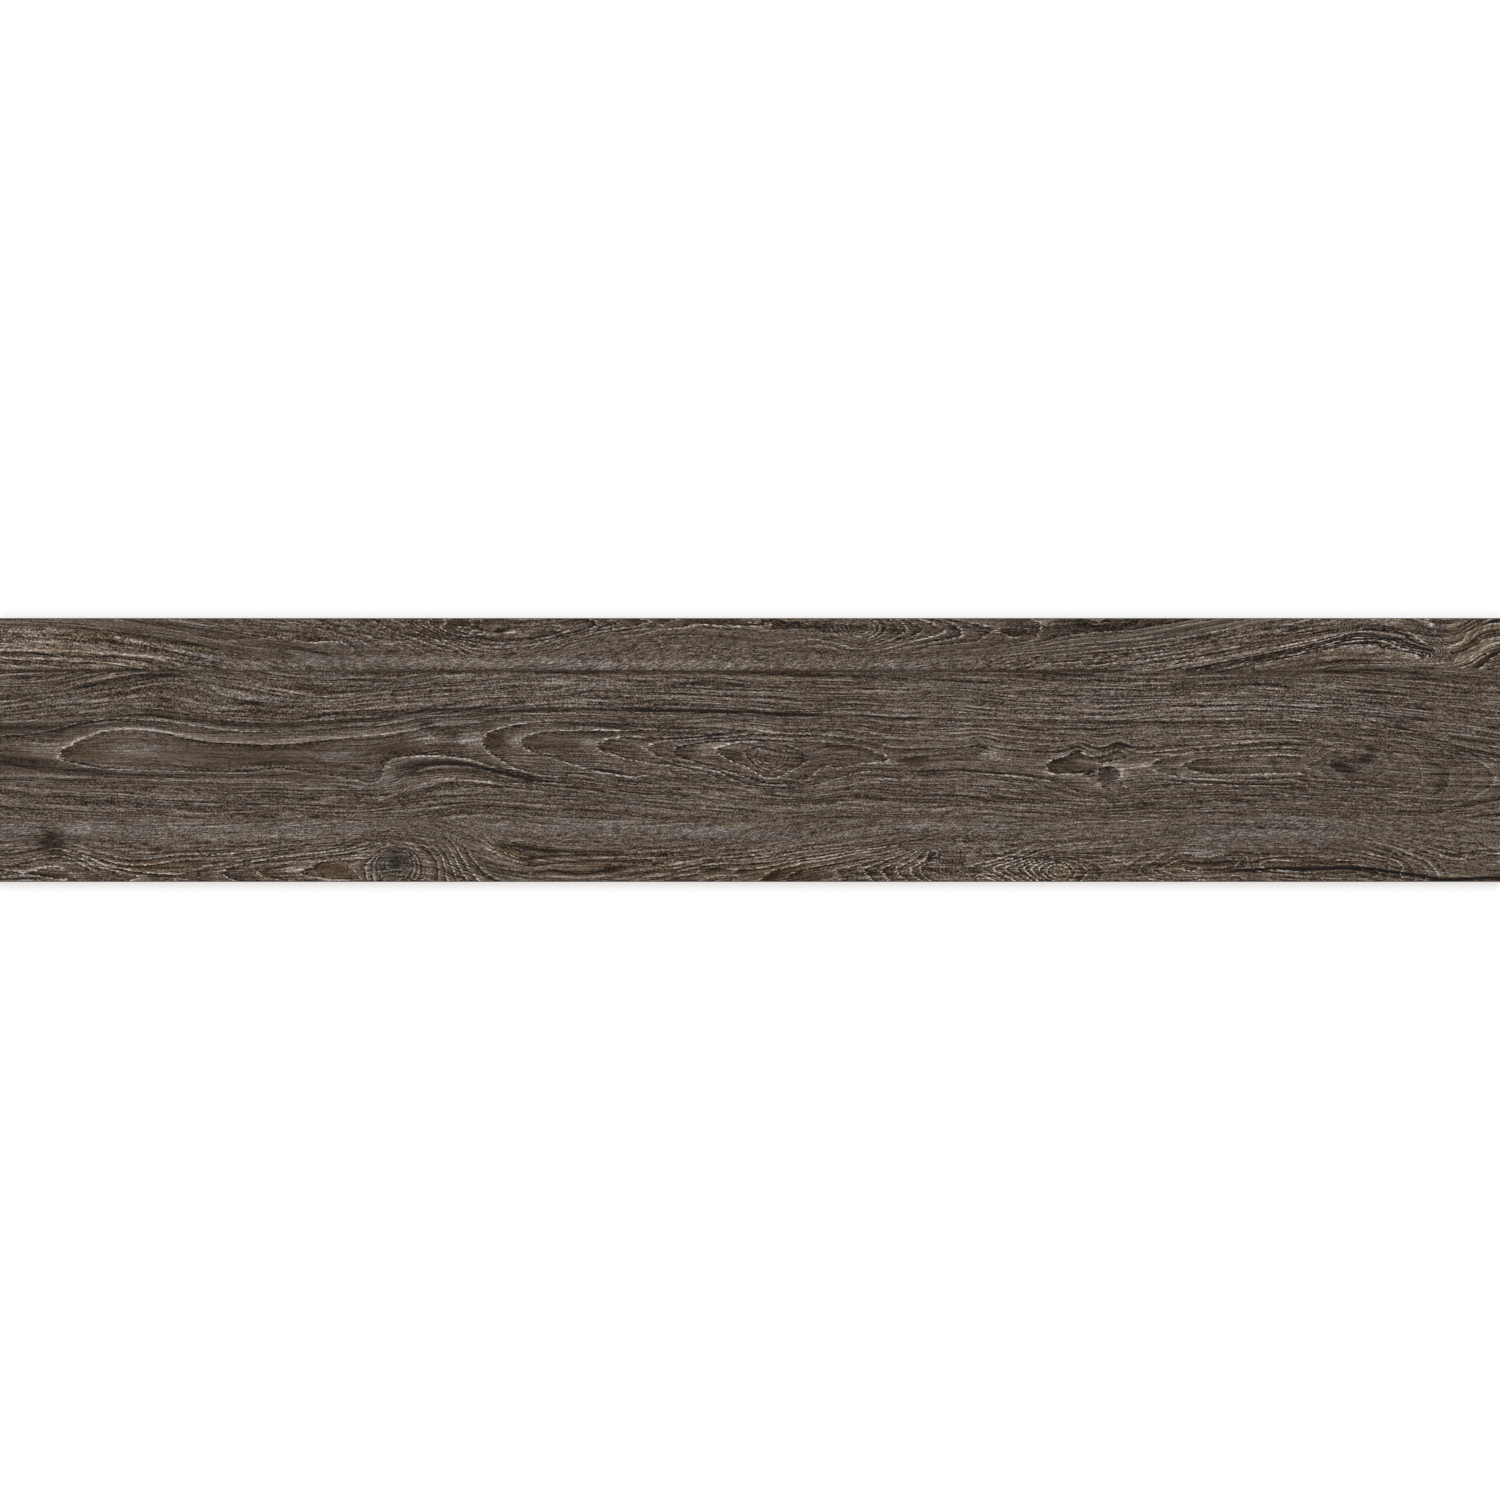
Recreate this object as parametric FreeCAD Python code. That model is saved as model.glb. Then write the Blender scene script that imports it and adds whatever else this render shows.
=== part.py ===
"""Wood look porcelain plank tile: one pressed and fired slab with ground edges.

The frame is +X along the plank, +Y across it and +Z out of the face.
The origin is the centre of the back, on the plane of the ribs that the tile rests on.
All sizes are in millimetres.
"""

import math
import os

import FreeCAD
import Part

# Slab
LENGTH = 1140.0
WIDTH = 200.0
THICKNESS = 10.0

# Bevel ground round the face, at 45 degrees
FACE_BEVEL = 0.6

# Keying pockets pressed into the back, where the adhesive grips
POCKET_LENGTH = 33.5
POCKET_WIDTH = 33.0
POCKET_DEPTH = 0.6
POCKET_CORNER_CUT = 4.0
POCKET_DRAFT_DEGREES = 40.0

# Ribs left between the pockets, and the least border left round them all
RIB_WIDTH = 4.0
LEAST_BORDER = 9.0

# How far the pocket cutter starts below the back
CUTTER_OVERSHOOT = 0.5

NODE = "plank_tile"


def ground_slab():
    """The slab with its square ground edges and the bevel round its face."""
    slab = Part.makeBox(
        LENGTH, WIDTH, THICKNESS, FreeCAD.Vector(-LENGTH / 2, -WIDTH / 2, 0)
    )
    face_edges = [
        edge
        for edge in slab.Edges
        if all(math.isclose(v.Z, THICKNESS, abs_tol=1e-6) for v in edge.Vertexes)
    ]
    return slab.makeChamfer(FACE_BEVEL, face_edges)


def pocket_cutter():
    """The solid that one pocket leaves: drafted walls, cut corners and a flat floor."""
    slope = math.tan(math.radians(POCKET_DRAFT_DEGREES))
    start_x = POCKET_LENGTH / 2 + CUTTER_OVERSHOOT * slope
    start_y = POCKET_WIDTH / 2 + CUTTER_OVERSHOOT * slope
    floor_x = POCKET_LENGTH / 2 - POCKET_DEPTH * slope
    floor_y = POCKET_WIDTH / 2 - POCKET_DEPTH * slope
    # The wedge tapers along +Y until it is turned up to +Z
    cutter = Part.makeWedge(
        -start_x, -CUTTER_OVERSHOOT, -start_y, -floor_y, -floor_x,
        start_x, POCKET_DEPTH, start_y, floor_y, floor_x,
    )
    cutter.rotate(FreeCAD.Vector(0, 0, 0), FreeCAD.Vector(1, 0, 0), 90)
    corner_edges = [
        edge
        for edge in cutter.Edges
        if abs(edge.Vertexes[0].Z - edge.Vertexes[1].Z) > POCKET_DEPTH / 2
    ]
    return cutter.makeChamfer(POCKET_CORNER_CUT, corner_edges)


def row_of_centres(span, pocket):
    """Centres of as many pockets as fit across a span inside its two borders."""
    pitch = pocket + RIB_WIDTH
    count = int((span - 2 * LEAST_BORDER + RIB_WIDTH) // pitch)
    return [(index - (count - 1) / 2) * pitch for index in range(count)]


def keyed_back(slab):
    """The slab with the grid of pockets cut into its back."""
    cutter = pocket_cutter()
    cutters = [
        cutter.translated(FreeCAD.Vector(x, y, 0))
        for x in row_of_centres(LENGTH, POCKET_LENGTH)
        for y in row_of_centres(WIDTH, POCKET_WIDTH)
    ]
    return slab.cut(Part.makeCompound(cutters))


def main():
    """Build the tile and write it as one STEP file."""
    os.makedirs("parts", exist_ok=True)
    tile = keyed_back(ground_slab()).Solids[0]
    tile.exportStep(os.path.join("parts", NODE + ".step"))
    print(NODE, "valid", tile.isValid(), "litres", round(tile.Volume / 1e6, 4))


main()
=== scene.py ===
"""Wood look porcelain plank tile: its printed face, its ground edges and its keyed back.

The frame is the CAD frame in metres: +X along the plank, +Y across it and +Z out of the face.
The wood figure is drawn in drawing units, 1500 to the plank's length: x from its left end and
d across it from its far long edge, as the camera sees it.
"""

import logging
import math
from dataclasses import dataclass
from enum import Enum

import bpy
import numpy as np
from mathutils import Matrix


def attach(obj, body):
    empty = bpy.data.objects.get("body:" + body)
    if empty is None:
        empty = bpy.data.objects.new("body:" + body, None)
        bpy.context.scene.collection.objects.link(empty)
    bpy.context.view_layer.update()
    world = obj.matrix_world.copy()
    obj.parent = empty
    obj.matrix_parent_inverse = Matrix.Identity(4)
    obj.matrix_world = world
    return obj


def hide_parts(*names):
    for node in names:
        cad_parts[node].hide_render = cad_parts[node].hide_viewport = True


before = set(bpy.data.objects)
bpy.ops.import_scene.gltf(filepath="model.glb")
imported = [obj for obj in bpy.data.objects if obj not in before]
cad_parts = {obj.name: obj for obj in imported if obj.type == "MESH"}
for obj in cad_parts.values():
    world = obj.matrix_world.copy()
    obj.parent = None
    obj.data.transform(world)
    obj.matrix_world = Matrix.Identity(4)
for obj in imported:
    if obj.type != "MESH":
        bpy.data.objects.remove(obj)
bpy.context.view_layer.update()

log = logging.getLogger("plank")

MM = 0.001
PLANK_LENGTH = 1140.0 * MM
PLANK_WIDTH = 200.0 * MM
PLANK_THICKNESS = 10.0 * MM
DRAWN_LENGTH = 1500.0
DRAWN_WIDTH = 264.0
DRAWN_MARGIN = 80.0
UNIT = PLANK_LENGTH / DRAWN_LENGTH
MM_PER_METRE = 1000.0
NODE = "plank_tile"
BODY = "root"

Points = tuple[tuple[float, float], ...]
Socket = bpy.types.NodeSocket
Feed = Socket | float | tuple[float, ...]


class Finish(Enum):
    """The three finishes of the fired piece, in the order of its material slots."""

    FACE = 0
    GROUND = 1
    BACK = 2


class Layer(Enum):
    """Names of the layers that carry the drawn figure from the mesh to the face's material."""

    RING = "ring_level"
    PACE = "ring_pace"
    RUN = "ring_run"
    FIBRE = "fibre_across"
    PAINT = "paint"
    GRAIN = "grain"


# The wood figure, as it is drawn


def smoothed(points: Points, x: np.ndarray, reach: float) -> np.ndarray:
    """Reads a softened line through drawn points.

    Args:
        points: The line's points as (x, value), in order of x.
        x: Where the line is read, in drawing units.
        reach: How far the softening spreads, in drawing units.

    Returns:
        The line's value at each x.
    """
    places, values = zip(*points)
    grid = np.arange(-DRAWN_MARGIN, DRAWN_LENGTH + DRAWN_MARGIN + 1.0)
    spread = int(3 * reach)
    weight = np.exp(-0.5 * (np.arange(-spread, spread + 1) / reach) ** 2)
    line = np.pad(np.interp(grid, places, values), spread, mode="edge")
    return np.interp(x, grid, np.convolve(line, weight / weight.sum(), mode="valid"))


def read_grid(field: np.ndarray, xs: np.ndarray, ds: np.ndarray, x: np.ndarray, d: np.ndarray) -> np.ndarray:
    """Reads a field between the places of its grid.

    Args:
        field: The field, one row for each place across.
        xs: The grid's places along the plank, rising.
        ds: The grid's places across the plank, rising.
        x: Places along the plank.
        d: Places across the plank.

    Returns:
        The field's value at each place.
    """
    col = np.clip(np.interp(x, xs, np.arange(len(xs))), 0, len(xs) - 1.001)
    row = np.clip(np.interp(d, ds, np.arange(len(ds))), 0, len(ds) - 1.001)
    left, low = col.astype(int), row.astype(int)
    col, row = col - left, row - low
    return ((field[low, left] * (1 - col) + field[low, left + 1] * col) * (1 - row)
            + (field[low + 1, left] * (1 - col) + field[low + 1, left + 1] * col) * row)


def stretch(x: np.ndarray, start: tuple[float, float], end: tuple[float, float]) -> np.ndarray:
    """Marks a stretch of the plank that fades in and out.

    Args:
        x: Places along the plank.
        start: Where it starts to show, and where it is full.
        end: Where it starts to fade, and where it is gone.

    Returns:
        From 0 outside the stretch to 1 inside it.
    """
    return (np.clip((x - start[0]) / (start[1] - start[0]), 0.0, 1.0)
            * np.clip((end[1] - x) / (end[1] - end[0]), 0.0, 1.0))


@dataclass(frozen=True)
class Streak:
    """One darker or lighter streak of the print.

    Attributes:
        points: Its middle line as (x, d).
        width: Its width in drawing units.
        tone: How much lighter it is, or darker where negative.
        warmth: How much warmer it is, or cooler where negative.
    """

    points: Points
    width: float
    tone: float
    warmth: float = 0.0

    def mask(self, x: np.ndarray, d: np.ndarray) -> np.ndarray:
        """Says how strongly the streak covers each point.

        Args:
            x: Places along the plank.
            d: Places across the plank.

        Returns:
            From 0 off the streak to 1 on its middle line.
        """
        places = [point[0] for point in self.points]
        line = smoothed(self.points, x, 5.0)
        slope = smoothed(self.points, x + 2.0, 5.0) - smoothed(self.points, x - 2.0, 5.0)
        off = (d - line) / np.sqrt(1.0 + (slope / 4.0) ** 2) / (0.5 * self.width + 0.35)
        taper = min(22.0, 0.3 * (places[-1] - places[0]))
        start = 1.0 if places[0] <= 0 else np.clip((x - places[0]) / taper + 0.5, 0.0, 1.0)
        end = 1.0 if places[-1] >= DRAWN_LENGTH else np.clip((places[-1] - x) / taper + 0.5, 0.0, 1.0)
        return np.exp(-off * off) * start * end


@dataclass(frozen=True)
class Cloud:
    """One oval patch of the print.

    Attributes:
        centre: Its middle as (x, d).
        radii: Its reach along and across the plank.
        tone: How much lighter it is, or darker where negative.
        warmth: How much warmer it is, or cooler where negative.
        contrast: How much stronger the grain is in it.
        fuzz: How much of the long grain gives way to short fibres.
        rings: How much stronger the ring lines are in it.
    """

    centre: tuple[float, float]
    radii: tuple[float, float]
    tone: float = 0.0
    warmth: float = 0.0
    contrast: float = 0.0
    fuzz: float = 0.0
    rings: float = 0.0

    def mask(self, x: np.ndarray, d: np.ndarray) -> np.ndarray:
        """Says how strongly the patch covers each point.

        Args:
            x: Places along the plank.
            d: Places across the plank.

        Returns:
            From 0 off the patch to 1 in its middle.
        """
        along = (x - self.centre[0]) / self.radii[0]
        across = (d - self.centre[1]) / self.radii[1]
        return np.exp(-(along * along + across * across) ** 1.3)


@dataclass(frozen=True)
class Knot:
    """One small knot or eye, with its own close rings.

    Attributes:
        centre: Its middle as (x, d).
        radii: Its reach along and across the plank.
        rings: How many rings it has.
        level: The board's ring level round it.
        hold: How much of the board's own rings is lost in it, from 0 to 1.
    """

    centre: tuple[float, float]
    radii: tuple[float, float]
    rings: float
    level: float = 0.0
    hold: float = 0.0

    def grow(self, level: np.ndarray, x: np.ndarray, d: np.ndarray) -> np.ndarray:
        """Puts the knot's rings among the board's.

        Args:
            level: The ring level without the knot.
            x: Places along the plank.
            d: Places across the plank.

        Returns:
            The ring level with the knot, lowest in the knot's middle.
        """
        along = (x - self.centre[0]) / self.radii[0]
        across = (d - self.centre[1]) / self.radii[1]
        out = np.sqrt(along * along + across * across)
        mask = np.exp(-(out ** 4))
        lost = mask * self.hold
        return level * (1.0 - lost) + self.level * lost + self.rings * (out - 1.0) * mask


@dataclass(frozen=True)
class Contour:
    """One ring line that shows clearly, drawn along its own way.

    Attributes:
        level: The ring level that it marks.
        points: Its way as (x, d).
        strength: How much more strongly it shows than the rings round it.
    """

    level: float
    points: Points
    strength: float = 0.5

    def way(self) -> np.ndarray:
        """Runs a smooth curve through the drawn points.

        Returns:
            Closely spaced places on the curve, one row of x and d for each.
        """
        drawn = np.array(self.points, float)
        ends = np.vstack((2 * drawn[0] - drawn[1], drawn, 2 * drawn[-1] - drawn[-2]))
        runs = []
        for before, start, end, after in zip(ends, ends[1:], ends[2:], ends[3:]):
            steps = max(2, int(np.hypot(*(end - start)) / 2.0))
            t = (np.arange(steps) / steps)[:, None]
            runs.append(0.5 * (
                2 * start + (end - before) * t + (2 * before - 5 * start + 4 * end - after) * t * t
                + (3 * start - before - 3 * end + after) * t ** 3))
        return np.vstack((*runs, drawn[-1:]))


@dataclass(frozen=True)
class Board:
    """One of the sawn boards in the figure, with the growth rings that its cut shows.

    Attributes:
        step: Distance between rings far from the heart line.
        heart: The heart line as (x, d).
        depth: How many rings lie above the heart line at each x.
        calm: How many rings out the bends of the heart line are lost.
        shift: Where this board's fibres start in the shared grain pattern.
        waves: Local bends as (x, d, reach along, reach across, shift).
        contours: The ring lines that are drawn one by one.
    """

    step: float
    heart: Points
    depth: Points
    calm: float
    shift: float
    waves: tuple[tuple[float, float, float, float, float], ...] = ()
    contours: tuple[Contour, ...] = ()

    def rings(self, x: np.ndarray, d: np.ndarray) -> tuple[np.ndarray, np.ndarray]:
        """Works out the board's rings and fibres.

        Args:
            x: Places along the plank.
            d: Places across the plank.

        Returns:
            The ring level, and the fibre coordinate in drawing units, which stays the same
            along each fibre.
        """
        across = d.copy()
        for wave_x, wave_d, reach_x, reach_d, move in self.waves:
            across -= move * np.exp(-((x - wave_x) / reach_x) ** 2 - ((d - wave_d) / reach_d) ** 2)
        heart = smoothed(self.heart, x, 7.0)
        slow = smoothed(self.heart, x, 60.0)
        line = slow + (heart - slow) * np.exp(-((across - heart) / 48.0) ** 2)
        side = (across - line) / self.step
        near = smoothed(self.depth, x, 4.0) ** 2
        far = smoothed(self.depth, x, 55.0) ** 2
        depth = far + (near - far) * np.exp(-((side / self.calm) ** 2))
        level = np.sqrt(side * side + np.maximum(depth, 0.0))
        bend = np.clip((np.abs(side) - 2.0) / 5.0, 0.0, 1.0)
        bend = bend * bend * (3.0 - 2.0 * bend)
        fibre = np.sign(side) * (np.abs(side) * (1.0 - bend) + level * bend)
        for knot in KNOTS:
            level = knot.grow(level, x, d)
        return level, fibre * self.step + self.shift

    def drawn(self, xs: np.ndarray, ds: np.ndarray) -> tuple[np.ndarray, np.ndarray]:
        """Works out how the drawn ring lines change the board's rings.

        Args:
            xs: The grid's places along the plank, rising.
            ds: The grid's places across the plank, rising.

        Returns:
            What is added to the ring level, and to the strength of the ring lines, at each
            place of the grid.
        """
        added, bold = np.zeros((len(ds), len(xs))), np.zeros((len(ds), len(xs)))
        ways = [line.way() for line in self.contours]
        for reach_x, reach_d in ((34.0, 10.0), (13.0, 4.5), (6.0, 2.2)):
            pull, bulk, show = np.zeros_like(added), np.full_like(added, 0.02), np.zeros_like(added)
            for line, way in zip(self.contours, ways):
                x, d = way.T
                left = line.level - self.rings(x, d)[0] - read_grid(added, xs, ds, x, d)
                cols = slice(*np.searchsorted(xs, (x.min() - 2.6 * reach_x, x.max() + 2.6 * reach_x)))
                rows = slice(*np.searchsorted(ds, (d.min() - 2.6 * reach_d, d.max() + 2.6 * reach_d)))
                along = np.exp(-(((xs[cols, None] - x) / reach_x) ** 2))
                across = np.exp(-(((ds[rows, None] - d) / reach_d) ** 2))
                pull[rows, cols] += across @ (along * left).T
                bulk[rows, cols] += across @ along.T
                show[rows, cols] += line.strength * (across @ along.T)
            added += pull / bulk
            if reach_x == 13.0:
                bold = show / bulk * (1.0 - np.exp(-bulk))
        return added, bold


FAR_JOINT = (
    (0, 53), (1060, 53), (1250, 55), (1300, 53), (1360, 50), (1400, 47), (1430, 48), (1450, 51), (1475, 51),
    (1500, 58),
)
NEAR_JOINT = (
    (0, 202), (150, 201), (600, 202), (900, 201), (1500, 201),
)

MIDDLE_HEART = (
    (0, 132), (60, 135), (110, 132), (150, 132), (200, 136.5), (240, 139), (290, 138), (340, 139),
    (375, 139), (400, 133), (430, 127), (484, 124), (520, 125), (560, 126), (596, 127), (650, 131),
    (673, 133), (716, 134), (745, 137), (771, 141), (800, 144), (830, 139), (860, 138), (889, 142),
    (915, 143), (958, 141), (1000, 144), (1047, 149), (1106, 152), (1150, 147), (1187, 147), (1250, 146),
    (1300, 147), (1340, 150), (1375, 153), (1400, 157), (1440, 161), (1500, 161),
)
FAR_HEART = (
    (0, -18), (75, -17), (150, -10), (250, -2), (350, 2), (424, 5), (505, 12), (560, 9), (594, 4), (650, 0),
    (700, 1), (760, 8), (855, 11), (1000, 14), (1050, 10), (1100, 9), (1130, 5), (1150, 1), (1200, -10),
    (1357, -43), (1400, -36), (1440, -21), (1455, -20), (1475, -38), (1500, -63),
)
NEAR_HEART = (
    (0, 256), (50, 256), (140, 260), (226, 256), (303, 253), (400, 246), (440, 250), (470, 262), (500, 270),
    (560, 278), (650, 279), (700, 275), (760, 268), (800, 261), (843, 254), (932, 248), (955, 250),
    (1003, 251), (1058, 255), (1110, 252), (1150, 251), (1180, 249), (1252, 247), (1350, 250), (1400, 260),
    (1450, 267), (1500, 272),
)
STREAKS_FAR = (
    Streak(((0, 31), (40, 31.5), (80, 33), (120, 36), (150, 38), (180, 41)), 1.7, 0.50, 0.5),
    Streak(((0, 28), (60, 28.5), (100, 31)), 1.2, 0.24, 0.4),
    Streak(((0, 40), (50, 40.5), (80, 42), (110, 45), (150, 48)), 1.6, 0.42, 0.5),
    Streak(((0, 4), (60, 3), (100, 6), (145, 11)), 1.5, 0.16),
    Streak(((85, 17), (110, 19), (150, 25), (180, 29), (210, 33), (235, 36)), 2, 0.20),
    Streak(((0, 47), (80, 48), (170, 49)), 2, 0.13),
    Streak(((0, 16), (60, 15), (100, 18), (150, 25), (200, 32)), 4, 0.10),
    Streak(((70, 11), (110, 15), (140, 20), (175, 23), (210, 27), (250, 33), (300, 42)), 5, -0.17),
    Streak(((120, 15), (150, 21)), 4, -0.12),
    Streak(((165, 4), (200, 11), (250, 20), (300, 30), (335, 38)), 2.5, -0.16),
    Streak(((0, 35), (100, 37), (150, 42)), 2, -0.15),
    Streak(((0, 44), (100, 45)), 2, -0.15),
    Streak(((250, 46), (330, 42), (420, 43), (500, 46)), 9, 0.10, -0.1),
    Streak(((490, 22), (530, 17), (560, 14), (592, 7)), 7, -0.12),
    Streak(((590, 3), (650, 1), (700, 2), (760, 4), (800, 5), (832, 8)), 7, -0.13, 0.3),
    Streak(((520, 42), (600, 45), (700, 47), (800, 46), (920, 46)), 8, 0.10, -0.1),
    Streak(((880, 12), (940, 13), (1000, 14)), 14, -0.09),
    Streak(((1000, 16), (1050, 12), (1100, 8), (1150, 4), (1185, -2)), 9, -0.17, 0.2),
    Streak(((1003, 15), (1030, 15)), 3, -0.18, -0.5),
    Streak(((1100, 53), (1150, 46), (1200, 38), (1230, 32)), 2.5, -0.20),
    Streak(((1130, 51), (1200, 42), (1250, 35), (1290, 28), (1335, 18)), 3.5, 0.15),
    Streak(((1190, 52), (1220, 46), (1260, 38), (1300, 30), (1320, 25.5), (1340, 20), (1350, 17),
        (1357, 16), (1370, 17.5), (1390, 20), (1400, 25), (1410, 28), (1428, 32)), 2.8, -0.40, -0.4),
    Streak(((1250, 43), (1270, 39.5), (1290, 36), (1310, 32), (1330, 27), (1345, 23.5), (1360, 22),
        (1378, 22)), 3, -0.24, -0.4),
    Streak(((1200, 46), (1240, 38), (1290, 29), (1320, 23.5)), 2, 0.12),
    Streak(((1250, 50), (1280, 44), (1320, 36), (1360, 32), (1400, 34)), 8, 0.12),
    Streak(((1370, 42), (1420, 44), (1450, 46), (1465, 44), (1475, 37), (1485, 28), (1500, 20)),
        7, 0.17, 0.2),
    Streak(((1440, 30), (1452, 30), (1460, 25), (1467, 16), (1476, 11), (1490, 8), (1500, 6)),
        6, 0.20, 0.2),
    Streak(((1456, 33), (1466, 27), (1472, 21.5), (1480, 17), (1490, 15), (1500, 16)), 4.5, -0.24),
    Streak(((1455, 41), (1468, 40), (1476, 33), (1485, 26), (1493, 22.5), (1500, 21)), 5, 0.20, 0.2),
    Streak(((1474, 49), (1482, 42), (1490, 36), (1500, 31)), 5, -0.20),
    Streak(((1466, 15), (1473, 9), (1482, 5), (1500, 2)), 3.5, -0.18),
    Streak(((505, 14.5), (510, 15.5), (516, 13)), 0.8, 1.0, -1.0),
    Streak(((497, 13), (503, 13.5)), 1.2, -0.6),
    Streak(((1420, 22), (1440, 34), (1455, 37)), 6, -0.05),
)
STREAKS_MIDDLE = (
    Streak(((0, 53), (180, 53)), 1.8, -0.26),
    Streak(((180, 53), (420, 53)), 1.6, -0.15),
    Streak(((420, 53), (800, 53.5), (1000, 53), (1120, 53)), 2.2, -0.26),
    Streak(((560, 55), (900, 57), (1100, 57)), 2, -0.16),
    Streak(((1180, 54), (1350, 53), (1400, 53), (1440, 59), (1490, 64)), 4.5, -0.18),
    Streak(((1300, 56), (1400, 50), (1440, 53)), 2.5, -0.15),
    Streak(((80, 68), (120, 63), (150, 57), (185, 56)), 6, -0.16),
    Streak(((110, 77), (150, 72), (185, 69)), 3, -0.07),
    Streak(((0, 110), (60, 109), (100, 101), (150, 95), (200, 102), (250, 108), (300, 108), (350, 103),
        (400, 96), (430, 91), (500, 92), (570, 90), (650, 91), (750, 94), (820, 97)), 4.5, -0.24, -0.3),
    Streak(((0, 115), (50, 114), (90, 108), (130, 104), (165, 105), (200, 112), (250, 114), (300, 112),
        (350, 109), (400, 106), (425, 102)), 2, -0.14),
    Streak(((62, 132), (75, 124), (100, 115), (125, 112), (150, 112), (180, 117), (220, 122), (260, 124),
        (300, 122), (350, 118), (400, 115), (420, 112)), 4, 0.20),
    Streak(((20, 118), (60, 113), (100, 105), (130, 102), (165, 103), (200, 110), (240, 112), (300, 109),
        (360, 106), (420, 101)), 2, 0.10),
    Streak(((58, 139), (90, 145), (115, 149), (150, 151)), 3, 0.15),
    Streak(((150, 151), (240, 152), (290, 150), (340, 158), (378, 162)), 2.5, 0.12),
    Streak(((0, 139), (40, 142), (80, 150), (110, 153)), 6, -0.14),
    Streak(((0, 145), (50, 150), (100, 155), (150, 157), (250, 158), (300, 157)), 3.0, -0.18, -0.3),
    Streak(((0, 158.5), (28, 156.5), (50, 157.5), (80, 160), (140, 161.5), (200, 162), (270, 162.5),
        (320, 165), (375, 171)), 1.3, 0.16),
    Streak(((0, 162), (40, 161), (100, 165), (200, 166), (280, 166.5)), 1.6, -0.14),
    Streak(((308, 138), (327, 148), (349, 147)), 3, -0.15),
    Streak(((385, 146), (400, 139), (450, 138), (480, 144), (503, 153)), 2.5, 0.18),
    Streak(((395, 148), (420, 144), (450, 142), (480, 148), (505, 157)), 3.5, -0.20),
    Streak(((405, 151), (425, 146.5), (450, 145), (475, 147.5), (500, 152.5), (530, 158)),
        3.2, -0.24, -0.9),
    Streak(((405, 157), (430, 153), (460, 152), (490, 156), (560, 164)), 6, -0.19),
    Streak(((410, 155), (440, 148), (465, 148), (490, 153), (520, 158)), 2, 0.14),
    Streak(((375, 181), (395, 178), (415, 170), (432, 162), (460, 159), (500, 164)), 2, 0.12),
    Streak(((520, 123), (545, 115), (575, 113), (620, 113), (700, 109)), 4, -0.11),
    Streak(((425, 108), (460, 104), (500, 101), (560, 96)), 2, 0.12),
    Streak(((515, 128), (550, 136), (600, 147), (660, 157)), 2, 0.08),
    Streak(((500, 162), (570, 166), (640, 172), (700, 180), (760, 185), (810, 182), (850, 179), (900, 181),
        (1000, 181), (1060, 185)), 3, -0.11),
    Streak(((560, 88), (650, 88), (750, 91), (850, 95), (950, 99), (1100, 101), (1250, 101.5), (1380, 103)),
        1.8, 0.17),
    Streak(((600, 91), (750, 94), (850, 98), (950, 102), (1100, 103.5), (1250, 104), (1370, 105),
        (1400, 110), (1430, 119), (1470, 133), (1500, 139)), 2.4, -0.17),
    Streak(((1385, 106), (1410, 115), (1440, 127), (1475, 136)), 6, -0.10),
    Streak(((1048, 140), (1065, 135), (1077, 128), (1088, 135), (1100, 137), (1112, 132)), 2, 0.12),
    Streak(((1046, 148), (1056, 143), (1068, 139), (1077, 132)), 2.5, -0.14),
    Streak(((1048, 155), (1062, 157), (1076, 157), (1088, 161), (1100, 169)), 1.6, 0.10),
    Streak(((1047, 151), (1060, 156), (1080, 154), (1092, 160)), 2, -0.14),
    Streak(((1060, 132), (1078, 126), (1095, 131), (1117, 127), (1140, 130), (1170, 129)), 2.5, -0.10),
    Streak(((1085, 146), (1105, 144), (1122, 148), (1150, 147)), 5, 0.12),
    Streak(((1135, 147), (1160, 142), (1180, 138), (1205, 134)), 2, 0.11),
    Streak(((1150, 150), (1170, 154), (1200, 157)), 2, 0.08),
    Streak(((1175, 146), (1195, 141), (1225, 139), (1260, 138)), 2, 0.12),
    Streak(((1187, 148), (1205, 153), (1250, 154)), 2, -0.09),
    Streak(((1280, 144), (1310, 145), (1340, 149)), 3, -0.10),
    Streak(((1340, 150), (1355, 142), (1380, 129)), 8, -0.07),
    Streak(((1338, 150), (1350, 158), (1368, 162)), 5, -0.09),
    Streak(((1390, 195), (1430, 194), (1455, 190), (1500, 179)), 3, -0.13),
    Streak(((1420, 140), (1437, 147), (1452, 154)), 4, -0.09),
    Streak(((760, 171), (790, 171), (806, 165), (830, 157), (860, 154)), 3, -0.08),
    Streak(((825, 129), (850, 130), (875, 134), (890, 142)), 2.5, -0.20),
    Streak(((898, 142), (908, 141.5), (915, 139.5), (928, 139.5)), 1.8, -0.30, -0.3),
    Streak(((905, 145), (915, 148), (922, 149), (928, 146)), 1.6, -0.16),
    Streak(((955, 142), (970, 137), (982, 131)), 2, -0.14),
    Streak(((760, 190), (800, 190), (850, 184), (900, 185)), 1.8, 0.12),
)
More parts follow.
